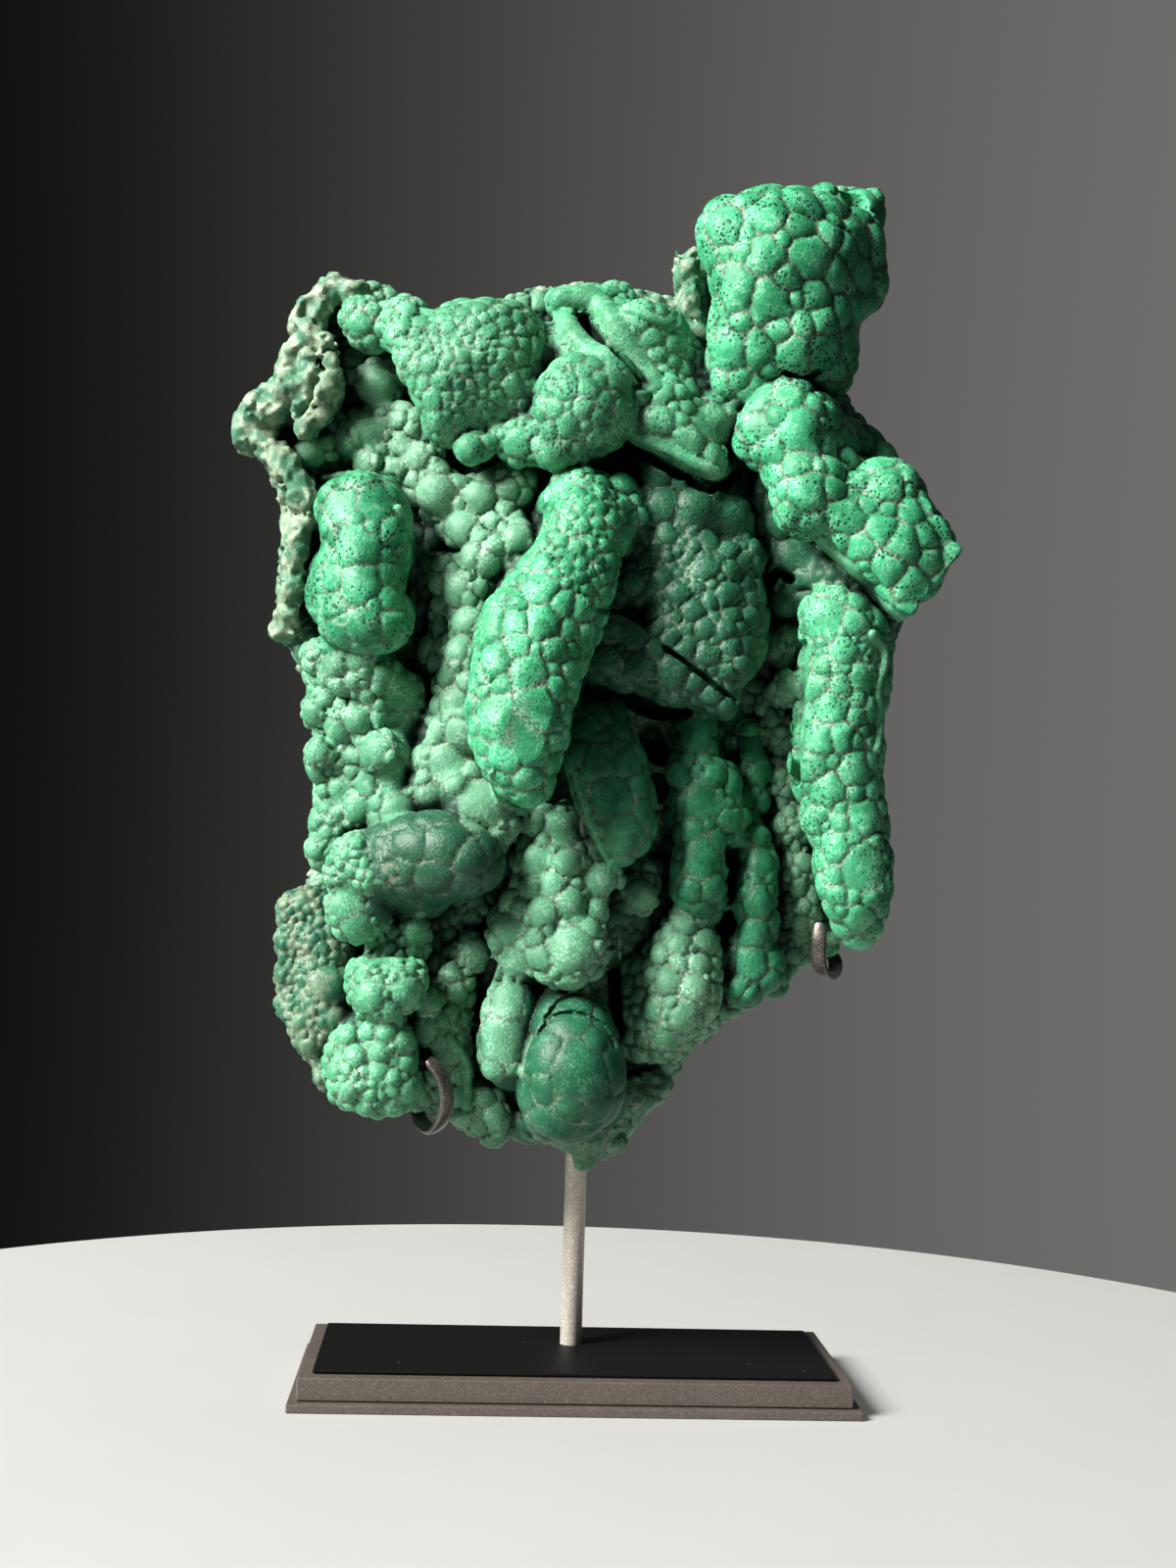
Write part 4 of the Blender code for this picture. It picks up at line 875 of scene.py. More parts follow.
def add_group(stone, lumps, kind, blend):
    """A group of big lumps that flow into each other before they join the rest."""
    centres, radii = [], []
    for x, z, forward, radius in lumps:
        centre, scale = seen_at(x, z, forward)
        centres.append(centre)
        radii.append(radius * scale)
    reach = np.array(radii)[:, None] + BLEND_REACH * blend + BAND
    low, high = (np.array(centres) - reach).min(0), (np.array(centres) + reach).max(0)
    start = np.floor((low - stone.low) / stone.step).astype(int)
    group = Growth(stone.low + start * stone.step, high, stone.step)
    total = np.full(group.field.shape, TINY, np.float32)
    for centre, radius, far in zip(centres, radii, reach):
        cut, x, y, z = group.window(centre - far, centre + far)
        distance = np.sqrt((x - centre[0]) ** 2 + (y - centre[1]) ** 2 + (z - centre[2]) ** 2)
        total[cut] += np.exp((radius - BLEND_LOSS * blend - distance) / blend)
    field = np.minimum(-blend * np.log(total), FAR)
    size = np.array(stone.field.shape)
    first, last = np.clip(start, 0, size), np.clip(start + field.shape, 0, size)
    cut = tuple(slice(a, b) for a, b in zip(first, last))
    own = tuple(slice(a, b) for a, b in zip(first - start, last - start))
    stone.add(cut, field[own], kind)


def add_crust(stone):
    """The flat mass behind the lumps, its edge rounded, and the cut block at the upper right."""
    cut, x, y, z = stone.window(np.array(GRID_LOW), np.array(GRID_HIGH))
    side = side_distance(x[:, 0, :], z[0, :, :], CRUST_OUTLINE)[:, None, :] + CRUST_ROUND
    thick = np.maximum(-y - CRUST_FRONT, y + CRUST_BACK) + CRUST_ROUND
    outside = np.hypot(np.maximum(side, 0), np.maximum(thick, 0))
    distance = outside + np.minimum(np.maximum(side, thick), 0) - CRUST_ROUND
    stone.add(cut, distance.astype(np.float32), KIND["crust"])
    behind = (stone.field < BAND) & (np.broadcast_to(y, stone.field.shape) > -CRUST_BACK - BACK_DEPTH)
    stone.kind[behind] = KIND["back"]
    block, back, front = CUT_BLOCK
    near = [seen_at(bx, bz, front)[0] for bx, bz in block]
    side = side_distance(x[:, 0, :], z[0, :, :], [(p[0], p[2]) for p in near])[:, None, :]
    distance = np.maximum(side, np.maximum(-y - front, y + back))
    stone.add(cut, distance.astype(np.float32), KIND["arm"])


def add_small_lumps(stone):
    """Small lumps all over: the ones that are seen, then others packed around them."""
    taken = {}
    seeds = seen_seeds(stone, taken)
    seeds += packed_seeds(stone, taken)
    kept = stone.kind.copy()
    for point, radius, share, kind in seeds:
        stone.cell(point, radius, min(lift_of(share, radius), MOST_LIFT), kind)
    plain = np.isin(kept, [KIND["rims"], KIND["broken_edge"]])
    stone.kind[plain] = kept[plain]
    stone.rise[plain] = 0.0
    stone.second[plain] = stone.first[plain] + CREASE_WIDTH
    stone.raise_lumps()


def lift_of(share, radius):
    return share * radius / (1 + max(0.0, radius - LIFT_EASED_FROM) / LIFT_EASE)


def seen_seeds(stone, taken):
    """The lumps read in front, each on the surface that it is seen against. Bosses are added."""
    points, outward, kinds = stone.skin()
    hits = stone.first_hit([(x, z) for x, z, radius in SEEN_LUMPS])
    seeds = []
    for hit, (x, z, radius) in zip(hits, SEEN_LUMPS):
        if not np.isfinite(hit[0]):
            continue
        nearest = np.argmin(((points - hit) ** 2).sum(1))
        point, kind = points[nearest], kinds[nearest]
        share = ALL_GROUPS[kind].rise
        if is_big_lump(x, z, radius):
            share = 0.0
        elif share >= BOSS_SHARE:
            least = stone.sag(point, outward[nearest], radius) + BOSS_MARGIN * radius
            lift = min(max(lift_of(share, radius), least), BOSS_MOST * radius)
            stone.boss(point, outward[nearest], radius, lift, kind)
            share = BOSS_RISE
        seeds.append((point, radius, share, kind))
        remember(taken, point, SEEN_ROOM * radius)
    return seeds


def packed_seeds(stone, taken):
    """Lumps of the sizes that each group has, wherever there is room for them."""
    rng = np.random.default_rng(PACKING_SEED)
    points, outward, kinds = stone.skin()
    low, high, rise = np.array([(group.least, group.most, group.rise) for group in ALL_GROUPS])[kinds].T
    on_plane = EYE + (points - EYE) * (EYE[1] / (EYE[1] - points[:, 1]))[:, None]
    toward = outward[:, 1] < FACING
    for x, z, wide, tall, least, most in FINE_AREAS:
        inside = ((on_plane[:, 0] - x) / wide) ** 2 + ((on_plane[:, 2] - z) / tall) ** 2 < 1
        low[toward & inside], high[toward & inside] = least, most
    radii = low + (high - low) * rng.random(len(points))
    order = rng.permutation(len(points))[: int(PACKING_TRIED * len(points))]
    seeds = []
    for size in ROUNDS:
        for i in order:
            radius = max(SMALLEST, size * radii[i])
            if has_room(taken, points[i], radius):
                remember(taken, points[i], radius)
                seeds.append((points[i], radius, rise[i], kinds[i]))
    return seeds


def is_big_lump(x, z, radius):
    """Whether one of the big lumps already stands there at about that size."""
    for lumps in LUMPS.values():
        for other_x, other_z, _, other in lumps:
            apart = math.hypot(x - other_x, z - other_z)
            if apart < SAME_PLACE * radius and other < SAME_SIZE * radius:
                return radius > BIG_FROM
    return False


def add_shells(stone):
    """Thin standing edges, each rooted in the surface that it is seen against."""
    for points, thickness, height in SHELLS:
        hits = stone.traced(points)
        depths = hits[:, 1].copy()
        for _ in range(2):
            depths[1:-1] = (depths[:-2] + depths[1:-1] + depths[2:]) / 3
        spots = hits + (EYE - hits) * ((hits[:, 1] - depths + height) / (hits[:, 1] - EYE[1]))[:, None]
        for cut, distance in stone.rods(spots, thickness, height + SHELL_ROOT):
            stone.add(cut, distance, KIND["rims"])


def carve_grooves(stone):
    for points, half_width, depth in GROOVES:
        for cut, distance in stone.rods(stone.traced(points), half_width, depth):
            stone.carve(cut, distance)


def bin_of(point):
    return int(point[0] // BIN), int(point[1] // BIN), int(point[2] // BIN)


def remember(taken, point, radius):
    taken.setdefault(bin_of(point), []).append((point[0], point[1], point[2], radius))


def has_room(taken, point, radius):
    """Whether a small lump fits between those already there."""
    x, y, z = point
    a, b, c = bin_of(point)
    for i in (a - 1, a, a + 1):
        for j in (b - 1, b, b + 1):
            for k in (c - 1, c, c + 1):
                for ox, oy, oz, other in taken.get((i, j, k), ()):
                    gap = (x - ox) ** 2 + (y - oy) ** 2 + (z - oz) ** 2
                    if gap < (CLOSENESS * (radius + other)) ** 2:
                        return False
    return True


def clear_the_stand(stone):
    """Room for the post and the arms, and nothing outside the box of the solid stone."""
    for centreline in (LEFT_ARM, RIGHT_ARM):
        for cut, distance in stone.rods(smooth_path(centreline, 3), ARM_ROOM):
            stone.carve(cut, distance)
    post = [(0, POST_Y, 0), (0, POST_Y, POST_TOP_Z)]
    for cut, distance in stone.rods(post, POST_RADIUS + POST_ROOM):
        stone.carve(cut, distance)
    low, high = (np.array(corner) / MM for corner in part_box("malachite"))
    cut, x, y, z = stone.window(np.array(GRID_LOW), np.array(GRID_HIGH))
    for place, least, most in ((x, low[0], high[0]), (y, low[1], high[1]), (z, low[2], high[2])):
        over = np.maximum(least + BOX_INSET - place, place - most + BOX_INSET)
        np.maximum(stone.field, over, out=stone.field)


def decimated(obj, triangles):
    """Thins the object out to that many triangles."""
    faces = len(obj.data.polygons) * 2
    if faces > triangles:
        fewer = obj.modifiers.new("fewer faces", "DECIMATE")
        fewer.ratio = triangles / faces
    graph = bpy.context.evaluated_depsgraph_get()
    mesh = bpy.data.meshes.new_from_object(obj.evaluated_get(graph), depsgraph=graph)
    obj.modifiers.clear()
    obj.data = mesh
    mesh.shade_smooth()
    mesh.set_sharp_from_angle(angle=math.radians(SHARP))
    return mesh


def stone_traits(stone):
    """Grids that the material draws on: creases, the rims of small lumps, and hollows, all of which it
    darkens as painted shade.
    """
    short = np.clip(stone.field, -2.0, 2.0)
    fine = box_mean(short, max(1, round(CREASE_MEAN / STEP)))
    solid = (stone.field < 0).astype(np.float32)
    broad = box_mean(solid, round(HOLLOW_MEAN / STEP))
    crease = np.clip((-0.1 - fine) / 0.45, 0, 1)
    return {
        "crease": np.maximum(0.3 * crease, stone.crease_lines()),
        "rim": (stone.first / stone.second) ** 3,
        "hollow": np.clip((broad - 0.42) / 0.33, 0, 1),
    }


def paint_stone(stone, traits, mesh):
    """Gives each corner the traits of its place and of its group, for the material to read."""
    corners = np.empty(len(mesh.vertices) * 3, np.float32)
    mesh.vertices.foreach_get("co", corners)
    index = stone.nearest(corners.reshape(-1, 3).astype(float) / MM)
    values = {name: grid[index] for name, grid in traits.items()}
    for trait in TRAITS:
        by_kind = np.array([getattr(group, trait) for group in ALL_GROUPS])
        values[trait] = by_kind[stone.kind[index]]
    for name, numbers in values.items():
        layer = mesh.attributes.new(name, "FLOAT", "POINT")
        layer.data.foreach_set("value", numbers.astype(np.float32))


def stone_patches():
    """The stone is shown as a back and four patches of its front, which overlap a little."""
    left, front, bottom = GRID_LOW
    right, back, top = GRID_HIGH
    x, y, z = SPLIT
    yield "growth_back", (left, y - OVERLAP, bottom), GRID_HIGH, BACK_TRIANGLES
    for side, x0, x1 in (("left", left, x + OVERLAP), ("right", x - OVERLAP, right)):
        for level, z0, z1 in (("lower", bottom, z + OVERLAP), ("upper", z - OVERLAP, top)):
            yield f"growth_{level}_{side}", (x0, front, z0), (x1, y + OVERLAP, z1), TRIANGLES


def build_stone(finish):
    stone = grow_stone()
    traits = stone_traits(stone)
    for name, low, high, triangles in stone_patches():
        corners, faces = without_crumbs(*stone.surface(low, high))
        obj = link(name, mesh_from(name, corners * MM, faces))
        mesh = decimated(obj, triangles)
        paint_stone(stone, traits, mesh)
        mesh.materials.append(finish)
        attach(obj, "root")
        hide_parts("malachite")


# The stand's round pieces


def arm_mesh(name, centreline, steps, around):
    """A round rod whose far end is forged flat and bent into a hook."""
    points = [Vector(point) for point in centreline]
    path = smooth_path(points, steps)
    hook_from = HOOK_STARTS * steps
    tangents = [(b - a).normalized() for a, b in zip([path[0], *path[:-1]], [*path[1:], path[-1]])]
    across = [None] * len(path)
    direction = (points[-1] - points[-4]).cross(points[-5] - points[-4]).normalized()
    for i in reversed(range(len(path))):
        direction = (direction - tangents[i] * direction.dot(tangents[i])).normalized()
        across[i] = direction
    shape = bmesh.new()
    rings = []
    last = len(path) - 1
    for i, centre in enumerate(path):
        flat = min(1.0, max(0.0, (i - hook_from + steps) / (2 * steps)))
        flat = flat * flat * (3 - 2 * flat)
        left = min(1.0, (last - i) / steps)
        tip = TIP_SHARE + (1 - TIP_SHARE) * math.sqrt(max(0.0, 1 - (1 - left) ** 2))
        width = (ROD_SECTION + (HOOK_WIDTH - ROD_SECTION) * flat) * tip / 2
        thick = (ROD_SECTION + (HOOK_THICKNESS - ROD_SECTION) * flat) * tip / 2
        outward = tangents[i].cross(across[i])
        ring = []
        for k in range(around):
            angle = 2 * math.pi * k / around
            square = 1 / max(abs(math.cos(angle)), abs(math.sin(angle))) ** (HOOK_SQUARENESS * flat)
            offset = across[i] * width * math.cos(angle) + outward * thick * math.sin(angle)
            ring.append(shape.verts.new((centre + offset * square) * MM))
        rings.append(ring)
    for low, high in zip(rings, rings[1:]):
        for k in range(around):
            j = (k + 1) % around
            shape.faces.new((low[k], low[j], high[j], high[k]))
    shape.faces.new(rings[0])
    shape.faces.new(rings[-1])
    return closed_mesh(name, shape, ARM_SHARP)


def turned_post(name, around):
    """The post as one turned outline, its ends chamfered."""
    low, high = (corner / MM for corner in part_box("post"))
    end, corner = POST_RADIUS - POST_CHAMFER, POST_RADIUS - POST_CORNER
    outline = [
        (0, low.z), (end, low.z), (corner, low.z + POST_CORNER), (POST_RADIUS, low.z + POST_CHAMFER),
        (POST_RADIUS, high.z - POST_CHAMFER), (corner, high.z - POST_CORNER), (end, high.z), (0, high.z),
    ]
    shape = bmesh.new()
    rings = []
    for radius, z in outline:
        if radius == 0:
            rings.append([shape.verts.new(Vector((0, POST_Y, z)) * MM)])
            continue
        ring = []
        for k in range(around):
            angle = 2 * math.pi * k / around
            spot = Vector((radius * math.cos(angle), POST_Y + radius * math.sin(angle), z))
            ring.append(shape.verts.new(spot * MM))
        rings.append(ring)
    for low_ring, high_ring in zip(rings, rings[1:]):
        for k in range(around):
            j = (k + 1) % around
            if len(low_ring) == 1:
                shape.faces.new((low_ring[0], high_ring[j], high_ring[k]))
            elif len(high_ring) == 1:
                shape.faces.new((low_ring[k], low_ring[j], high_ring[0]))
            else:
                shape.faces.new((low_ring[k], low_ring[j], high_ring[j], high_ring[k]))
    return closed_mesh(name, shape, POST_SHARP)


def build_stand_rods(finish):
    pieces = {
        "post": turned_post("round_post", POST_SIDES),
        "left_arm": arm_mesh("left_hook", LEFT_ARM, ARM_STEPS, ARM_SIDES),
        "right_arm": arm_mesh("right_hook", RIGHT_ARM, ARM_STEPS, ARM_SIDES),
    }
    for node, mesh in pieces.items():
        piece = link(mesh.name, mesh)
        mesh.materials.append(finish["steel" if node == "post" else "hooks"])
        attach(piece, "root")
        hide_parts(node)


# Materials


class Nodes:
    """Short ways to write the nodes of a material or of the world."""

    def __init__(self, owner):
        owner.use_nodes = True
        self.owner = owner
        self.tree = owner.node_tree
        self.shader = self.tree.nodes.get("Principled BSDF")

    def add(self, kind, **settings):
        made = self.tree.nodes.new(kind)
        for key, value in settings.items():
            setattr(made, key, value)
        return made

    def put(self, value, socket):
        if isinstance(value, bpy.types.NodeSocket):
            self.tree.links.new(value, socket)
        elif isinstance(value, tuple) and len(value) == 3 and socket.type == "RGBA":
            socket.default_value = (*value, 1.0)
        else:
            socket.default_value = value

    def attribute(self, name):
        return self.add("ShaderNodeAttribute", attribute_name=name).outputs["Fac"]

    def place(self):
        return self.add("ShaderNodeTexCoord").outputs["Object"]

    def math(self, operation, a, b=0.0, clamp=False):
        made = self.add("ShaderNodeMath", operation=operation, use_clamp=clamp)
        self.put(a, made.inputs[0])
        self.put(b, made.inputs[1])
        return made.outputs[0]

    def mix(self, share, a, b):
        made = self.add("ShaderNodeMix", data_type="RGBA")
        self.put(share, made.inputs[0])
        self.put(a, made.inputs[6])
        self.put(b, made.inputs[7])
        return made.outputs[2]

    def steps(self, value, low, high, bottom=0.0, top=1.0, shape="SMOOTHSTEP"):
        """Maps low..high to bottom..top, and stops there."""
        made = self.add("ShaderNodeMapRange", interpolation_type=shape)
        self.put(value, made.inputs["Value"])
        for key, number in (("From Min", low), ("From Max", high), ("To Min", bottom), ("To Max", top)):
            made.inputs[key].default_value = number
        return made.outputs["Result"]

    def noise(self, size, detail=3.0, roughness=0.55):
        """Cloudy values, size is the width of a cloud in millimetres."""
        made = self.add("ShaderNodeTexNoise")
        self.put(self.place(), made.inputs["Vector"])
        made.inputs["Scale"].default_value = 1 / (size * MM)
        made.inputs["Detail"].default_value = detail
        made.inputs["Roughness"].default_value = roughness
        return made.outputs["Fac"]

    def spots(self, size):
        """How far each place is from the nearest of many scattered points."""
        made = self.add("ShaderNodeTexVoronoi")
        self.put(self.place(), made.inputs["Vector"])
        made.inputs["Scale"].default_value = 1 / (size * MM)
        return made.outputs["Distance"]

    def bump(self, height, distance, strength=1.0, below=None):
        made = self.add("ShaderNodeBump")
        made.inputs["Strength"].default_value = strength
        made.inputs["Distance"].default_value = distance * MM
        self.put(height, made.inputs["Height"])
        if below is not None:
            self.put(below, made.inputs["Normal"])
        return made.outputs["Normal"]


# Colours of the stone, as linear red, green and blue; two of them are mixed by noise
PLAIN_GREENS = (0.017, 0.125, 0.060), (0.036, 0.235, 0.112)
VIVID_GREENS = (0.007, 0.270, 0.098), (0.026, 0.400, 0.172)
# Dark stone, and painted shade where a group lies in shadow
DARK_GREEN_AND_SHADE = (0.006, 0.044, 0.023)
BLOOM = (0.115, 0.295, 0.165)
# Painted shade toward the rim of each small lump
LUMP_RIM_SHADE = (0.005, 0.040, 0.021)
GRIT = (0.034, 0.070, 0.044), (0.200, 0.270, 0.180)
POWDER = (0.400, 0.580, 0.440)
# Creases: the pale colour is dust, the dark one painted shade
CREASE_DUST_AND_SHADE = (0.040, 0.062, 0.042), (0.230, 0.290, 0.200)
EARTH = (0.140, 0.130, 0.085), (0.420, 0.420, 0.310)
EARTH_STAIN = (0.030, 0.110, 0.065)
# Painted shade, near black, deep in hollows
HOLLOW_SHADE = (0.003, 0.012, 0.007)
# Painted shade inside the pits
PIT_SHADE = (0.005, 0.024, 0.014)


def stone_material():
    """Matt emerald with a pale bloom, powder that varies, dust and painted shade in the creases, and
    painted shade at the rims of the small lumps, in hollows and in pits.
    """
    m = Nodes(bpy.data.materials.new("malachite"))
    vivid, pale, dark = m.attribute("vivid"), m.attribute("pale"), m.attribute("dark")
    pitted, earthy = m.attribute("pitted"), m.attribute("earthy")
    crease, rim, hollow = m.attribute("crease"), m.attribute("rim"), m.attribute("hollow")
    clouds = m.noise(14.0, 4.0)
    patches = m.noise(7.0, 3.0, 0.6)
    grain = m.noise(0.9, 3.0, 0.6)
    speck = m.noise(3.2, 3.0, 0.6)
    # Painted shade: vivid green gives way to plainer green deeper in hollows
    open_side = m.math("SUBTRACT", 1.0, hollow)
    bright = m.math("MULTIPLY", vivid, m.steps(open_side, 0.2, 0.85, 0.35, 1.0), clamp=True)
    bright = m.math("MULTIPLY", bright, m.steps(patches, 0.3, 0.6, 0.55, 1.15), clamp=True)
    green = m.mix(m.steps(clouds, 0.35, 0.65), *PLAIN_GREENS)
    # Dark groups: partly dark stone, partly painted shade
    green = m.mix(dark, green, DARK_GREEN_AND_SHADE)
    green = m.mix(bright, green, m.mix(m.steps(clouds, 0.4, 0.65), *VIVID_GREENS))
    bloom = m.math("MULTIPLY", pale, m.steps(speck, 0.25, 0.7, 0.6, 1.0), clamp=True)
    green = m.mix(bloom, green, BLOOM)
    # Painted shade: each small lump darkens toward its rim
    green = m.mix(m.steps(rim, 0.25, 1.0, 0.0, 0.62), green, LUMP_RIM_SHADE)
    grit = m.math("MULTIPLY", m.steps(rim, 0.30, 0.85), m.steps(speck, 0.30, 0.62, 0.0, 0.85))
    grit = m.math("MULTIPLY", grit, m.steps(dark, 0.3, 1.0, 1.0, 0.3))
    gritty = m.mix(m.steps(grain, 0.35, 0.65), *GRIT)
    green = m.mix(m.math("MULTIPLY", grit, m.steps(patches, 0.3, 0.6, 0.25, 0.95)), green, gritty)
    powder = m.math("MULTIPLY", m.steps(grain, 0.42, 0.68), m.steps(patches, 0.40, 0.66, 0.08, 0.68))
    powder = m.math("MULTIPLY", powder, m.steps(dark, 0.2, 0.9, 1.0, 0.25))
    green = m.mix(powder, green, POWDER)
    # Creases get pale dust in some patches and dark painted shade in others
    dust = m.math("MULTIPLY", m.steps(crease, 0.25, 0.8), m.steps(speck, 0.3, 0.6, 0.35, 0.9))
    crease_dust_and_shade = m.mix(m.steps(patches, 0.4, 0.6), *CREASE_DUST_AND_SHADE)
    green = m.mix(m.math("MULTIPLY", dust, 0.7), green, crease_dust_and_shade)
    brown = m.mix(m.steps(speck, 0.35, 0.65), *EARTH)
    brown = m.mix(m.steps(m.noise(5.0, 4.0), 0.42, 0.6), brown, EARTH_STAIN)
    green = m.mix(earthy, green, brown)
    # Painted shade darkens the hollows nearly to black
    green = m.mix(m.steps(hollow, 0.42, 0.95, 0.0, 0.94), green, HOLLOW_SHADE)
    crowd = m.noise(9.0, 3.0)
    size = m.steps(crowd, 0.32, 0.66, -0.05, 0.30)
    hole = m.steps(m.math("SUBTRACT", m.spots(1.5), size), 0.02, 0.12, 1.0, 0.0)
    hole = m.math("MULTIPLY", hole, pitted, clamp=True)
    # Pits painted near black as the shade inside them
    green = m.mix(m.math("MULTIPLY", hole, 0.85), green, PIT_SHADE)
    m.put(green, m.shader.inputs["Base Color"])
    rough = m.math("ADD", m.steps(bright, 0.1, 0.9, 0.50, 0.46), m.steps(grain, 0.3, 0.7, -0.05, 0.08))
    rough = m.math("SUBTRACT", rough, m.math("MULTIPLY", dark, 0.08))
    rough = m.math("MAXIMUM", rough, m.math("MULTIPLY", m.math("MAXIMUM", dust, powder), 0.85))
    m.put(rough, m.shader.inputs["Roughness"])
    m.shader.inputs["Specular IOR Level"].default_value = 0.28
    fine = m.bump(m.math("ADD", m.math("MULTIPLY", grain, 0.8), speck), 0.4, 0.6)
    sunk = m.bump(m.math("MULTIPLY", hole, -1.0), 0.5, 0.8, fine)
    m.put(sunk, m.shader.inputs["Normal"])
    return m.owner


def coat_material(name, dark, light, speck_size, roughness, metallic, bump):
    """A textured coat on metal: fine grains that catch the light."""
    m = Nodes(bpy.data.materials.new(name))
    grains = m.noise(speck_size, 2.0, 0.7)
    wear = m.noise(18.0, 4.0)
    colour = m.mix(m.steps(grains, 0.45, 0.75), dark, light)
    colour = m.mix(m.steps(wear, 0.5, 0.75, 0.0, 0.08), colour, light)
    m.put(colour, m.shader.inputs["Base Color"])
    m.put(m.math("ADD", m.steps(grains, 0.3, 0.7, roughness, roughness + 0.14),
                 m.steps(wear, 0.35, 0.7, -0.04, 0.05)), m.shader.inputs["Roughness"])
    m.shader.inputs["Metallic"].default_value = metallic
    m.put(m.bump(grains, 0.06, bump), m.shader.inputs["Normal"])
    return m.owner


def top_material():
    """Near-black coat of the top plate, with a few specks of dust. The near black is painted shade: the
    dark surroundings that its upward face reflects, on a coat like the plinth's.
    """
    m = Nodes(bpy.data.materials.new("black_satin_coat"))
    grains = m.noise(0.35, 2.0, 0.6)
    speck = m.steps(m.spots(5.5), 0.05, 0.08, 1.0, 0.0)
    some = m.steps(m.noise(11.0, 3.0), 0.5, 0.62)
    dust = m.math("MULTIPLY", speck, some, clamp=True)
    # Near black base colour: painted shade for the dark that the upward face reflects
    m.put(m.mix(m.math("MULTIPLY", dust, 0.6), (0.005, 0.005, 0.005), (0.30, 0.29, 0.27)),
          m.shader.inputs["Base Color"])
    m.put(m.steps(grains, 0.3, 0.7, 0.46, 0.58), m.shader.inputs["Roughness"])
    m.shader.inputs["Specular IOR Level"].default_value = 0.06
    m.put(m.bump(grains, 0.03, 0.5), m.shader.inputs["Normal"])
    return m.owner


def plain_material(name, colour, roughness):
    m = Nodes(bpy.data.materials.new(name))
    soft = m.noise(60.0, 3.0)
    m.put(m.mix(soft, colour, tuple(c * 0.94 for c in colour)), m.shader.inputs["Base Color"])
    m.shader.inputs["Roughness"].default_value = roughness
    return m.owner


# Coats on metal: name, dark and light colour, width of a grain, roughness, metallic, bump
COATS = {
    "bronze": ("dark_bronze_coat", (0.070, 0.058, 0.049), (0.205, 0.174, 0.146), 0.30, 0.42, 0.25, 0.7),
    "steel": ("bronzed_steel", (0.46, 0.42, 0.36), (0.98, 0.91, 0.79), 0.5, 0.38, 0.30, 0.6),
    "hooks": ("darker_steel", (0.07, 0.062, 0.055), (0.25, 0.225, 0.20), 0.5, 0.32, 0.7, 0.6),
}


def build_materials():
    finish = {part: coat_material(*values) for part, values in COATS.items()}
    finish["stone"] = stone_material()
    finish["black"] = top_material()
    finish["table"] = plain_material("pale_table", (0.385, 0.385, 0.370), 0.6)
    return finish


# Surroundings

TABLE_CENTRE = (-9.4, -77.7)
TABLE_RADIUS = 360.0
TABLE_THICKNESS = 18.0
TABLE_EDGE = 2.5
TABLE_SIDES = 256


def build_table(finish):
    shape = bmesh.new()
    low = Matrix.Translation((TABLE_CENTRE[0] * MM, TABLE_CENTRE[1] * MM, -TABLE_THICKNESS / 2 * MM))
    bmesh.ops.create_cone(
        shape, cap_ends=True, segments=TABLE_SIDES, radius1=TABLE_RADIUS * MM, radius2=TABLE_RADIUS * MM,
        depth=TABLE_THICKNESS * MM, matrix=low
    )
    mesh = closed_mesh("table", shape)
    mesh.materials.append(finish)
    table = link("table", mesh)
    bevel = table.modifiers.new("soft edge", "BEVEL")
    bevel.width = TABLE_EDGE * MM
    bevel.segments = 4
    bevel.limit_method = "ANGLE"


def area_light(name, place, target, size, power, colour=(1, 1, 1)):
    data = bpy.data.lights.new(name, "AREA")
    data.shape = "RECTANGLE"
    data.size, data.size_y = size
    data.energy = power
    data.color = colour
    lamp = bpy.data.objects.new(name, data)
    lamp.location = place
    lamp.rotation_euler = (Vector(target) - Vector(place)).to_track_quat("-Z", "Y").to_euler()
    bpy.context.scene.collection.objects.link(lamp)
    return lamp


def build_surroundings():
    """Plain grey, darker to the left and on the side of the camera."""
    world = Nodes(bpy.data.worlds.new("surroundings"))
    parts = world.add("ShaderNodeSeparateXYZ")
    world.put(world.add("ShaderNodeTexCoord").outputs["Generated"], parts.inputs[0])
    side = world.steps(parts.outputs["X"], -0.27, 0.42, 0.005, 0.16)
    behind = world.steps(parts.outputs["Y"], 0.45, 0.84, 0.02, 1.0, "LINEAR")
    grey = world.mix(world.math("MULTIPLY", side, behind), (0.0, 0.0, 0.0), (1.0, 0.985, 0.94))
    world.put(grey, world.tree.nodes["Background"].inputs["Color"])
    bpy.context.scene.world = world.owner


def tie_to_table(lamp, name, state):
    """The light falls on the table alone, or on everything but the table."""
    tied = bpy.data.collections.new(name)
    tied.objects.link(bpy.data.objects["table"])
    tied.collection_objects[0].light_linking.link_state = state
    lamp.light_linking.receiver_collection = tied


# Lights: places and sizes in metres, powers in watts
LIT_MIDDLE = (0.0, 0.0, 0.22)
KEY_PLACE = (-2.22, -1.20, 1.88)
KEY_SIZE = (1.15, 1.25)
KEY_COLOUR = (1.0, 0.99, 0.97)
KEY_POWER = 352.0
KEY_POWER_ON_TABLE = 330.0


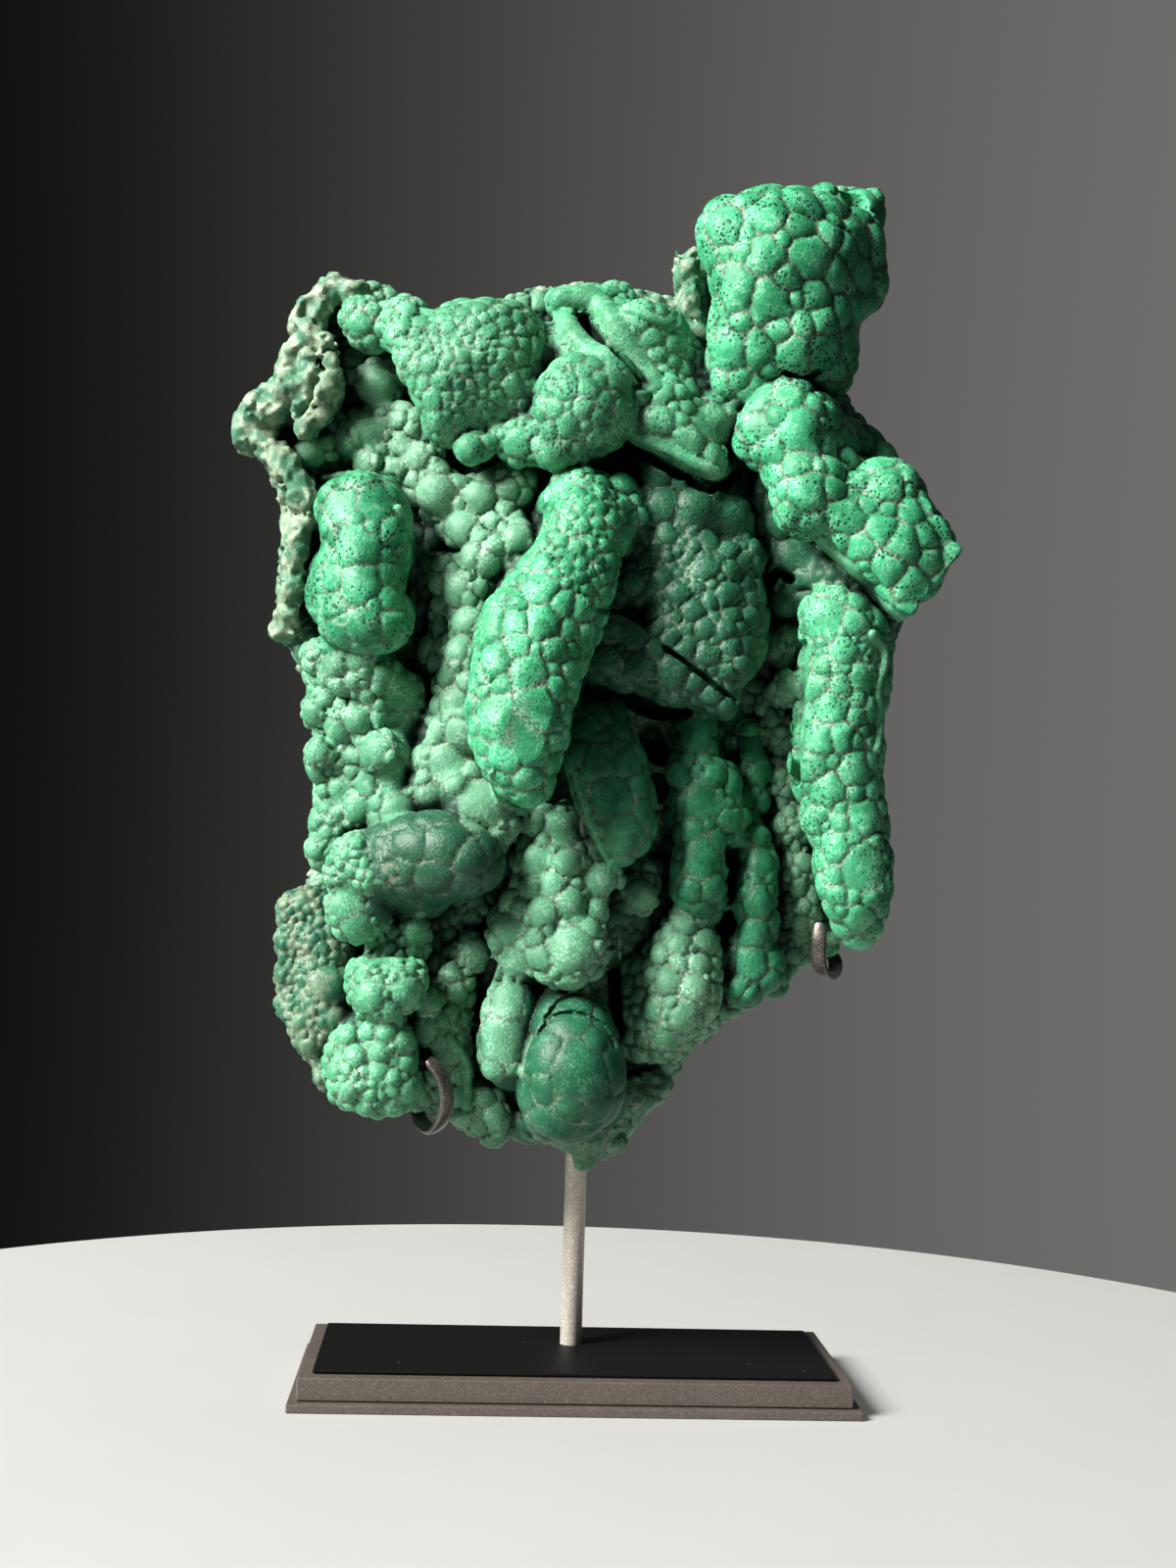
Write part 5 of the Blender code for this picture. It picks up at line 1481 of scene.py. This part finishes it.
def build_lights():
    """A large soft key light. On the table it is even, with the shadow of the base alone."""
    key = area_light("key", KEY_PLACE, LIT_MIDDLE, KEY_SIZE, KEY_POWER, KEY_COLOUR)
    tie_to_table(key, "all_but_the_table", "EXCLUDE")
    even = area_light("even", KEY_PLACE, LIT_MIDDLE, KEY_SIZE, KEY_POWER_ON_TABLE, KEY_COLOUR)
    tie_to_table(even, "table_and_key", "INCLUDE")
    base = bpy.data.collections.new("base")
    for node in ("foot_plate", "plinth", "top_plate"):
        base.objects.link(NODES[node])
    even.light_linking.blocker_collection = base
    area_light("fill", (0.95, -1.1, 0.45), LIT_MIDDLE, (1.0, 1.0), 0.7, (0.95, 0.98, 1.0))
    area_light("top", (-0.1, -0.2, 1.15), LIT_MIDDLE, (0.9, 0.7), 0.4)
    above = area_light("above", (0.28, 0.10, 1.3), (0.2, 0.1, 0.0), (1.0, 1.0), 5.0)
    tie_to_table(above, "table_and_above", "INCLUDE")
    build_surroundings()


# Camera, solved from the corners of the stand's base

CAMERA_YAW = 3.29
CAMERA_PITCH = 2.72
CAMERA_ROLL = 1.73
LENS = 43.67
SENSOR = 36.0


def build_camera():
    yaw, pitch, roll = (math.radians(angle) for angle in (CAMERA_YAW, CAMERA_PITCH, CAMERA_ROLL))
    forward = Vector((math.sin(yaw) * math.cos(pitch), math.cos(yaw) * math.cos(pitch), math.sin(pitch)))
    level = Vector((math.cos(yaw), -math.sin(yaw), 0))
    rise = level.cross(forward)
    right = level * math.cos(roll) + rise * math.sin(roll)
    up = rise * math.cos(roll) - level * math.sin(roll)
    data = bpy.data.cameras.new("camera")
    data.lens = LENS
    data.sensor_width = SENSOR
    data.clip_start = 0.01
    camera = bpy.data.objects.new("camera", data)
    turn = Matrix((right, up, -forward)).transposed().to_4x4()
    camera.matrix_world = Matrix.Translation(Vector(EYE) * MM) @ turn
    bpy.context.scene.collection.objects.link(camera)
    bpy.context.scene.camera = camera


def main():
    finish = build_materials()
    for node in ("foot_plate", "plinth"):
        NODES[node].data.materials.clear()
        NODES[node].data.materials.append(finish["bronze"])
    # The top plate is painted near black as shade; the foot and plinth keep the bronze coat
    NODES["top_plate"].data.materials.clear()
    NODES["top_plate"].data.materials.append(finish["black"])
    build_stone(finish["stone"])
    build_stand_rods(finish)
    build_table(finish["table"])
    build_lights()
    build_camera()
    bpy.context.scene.view_settings.view_transform = "Standard"


main()
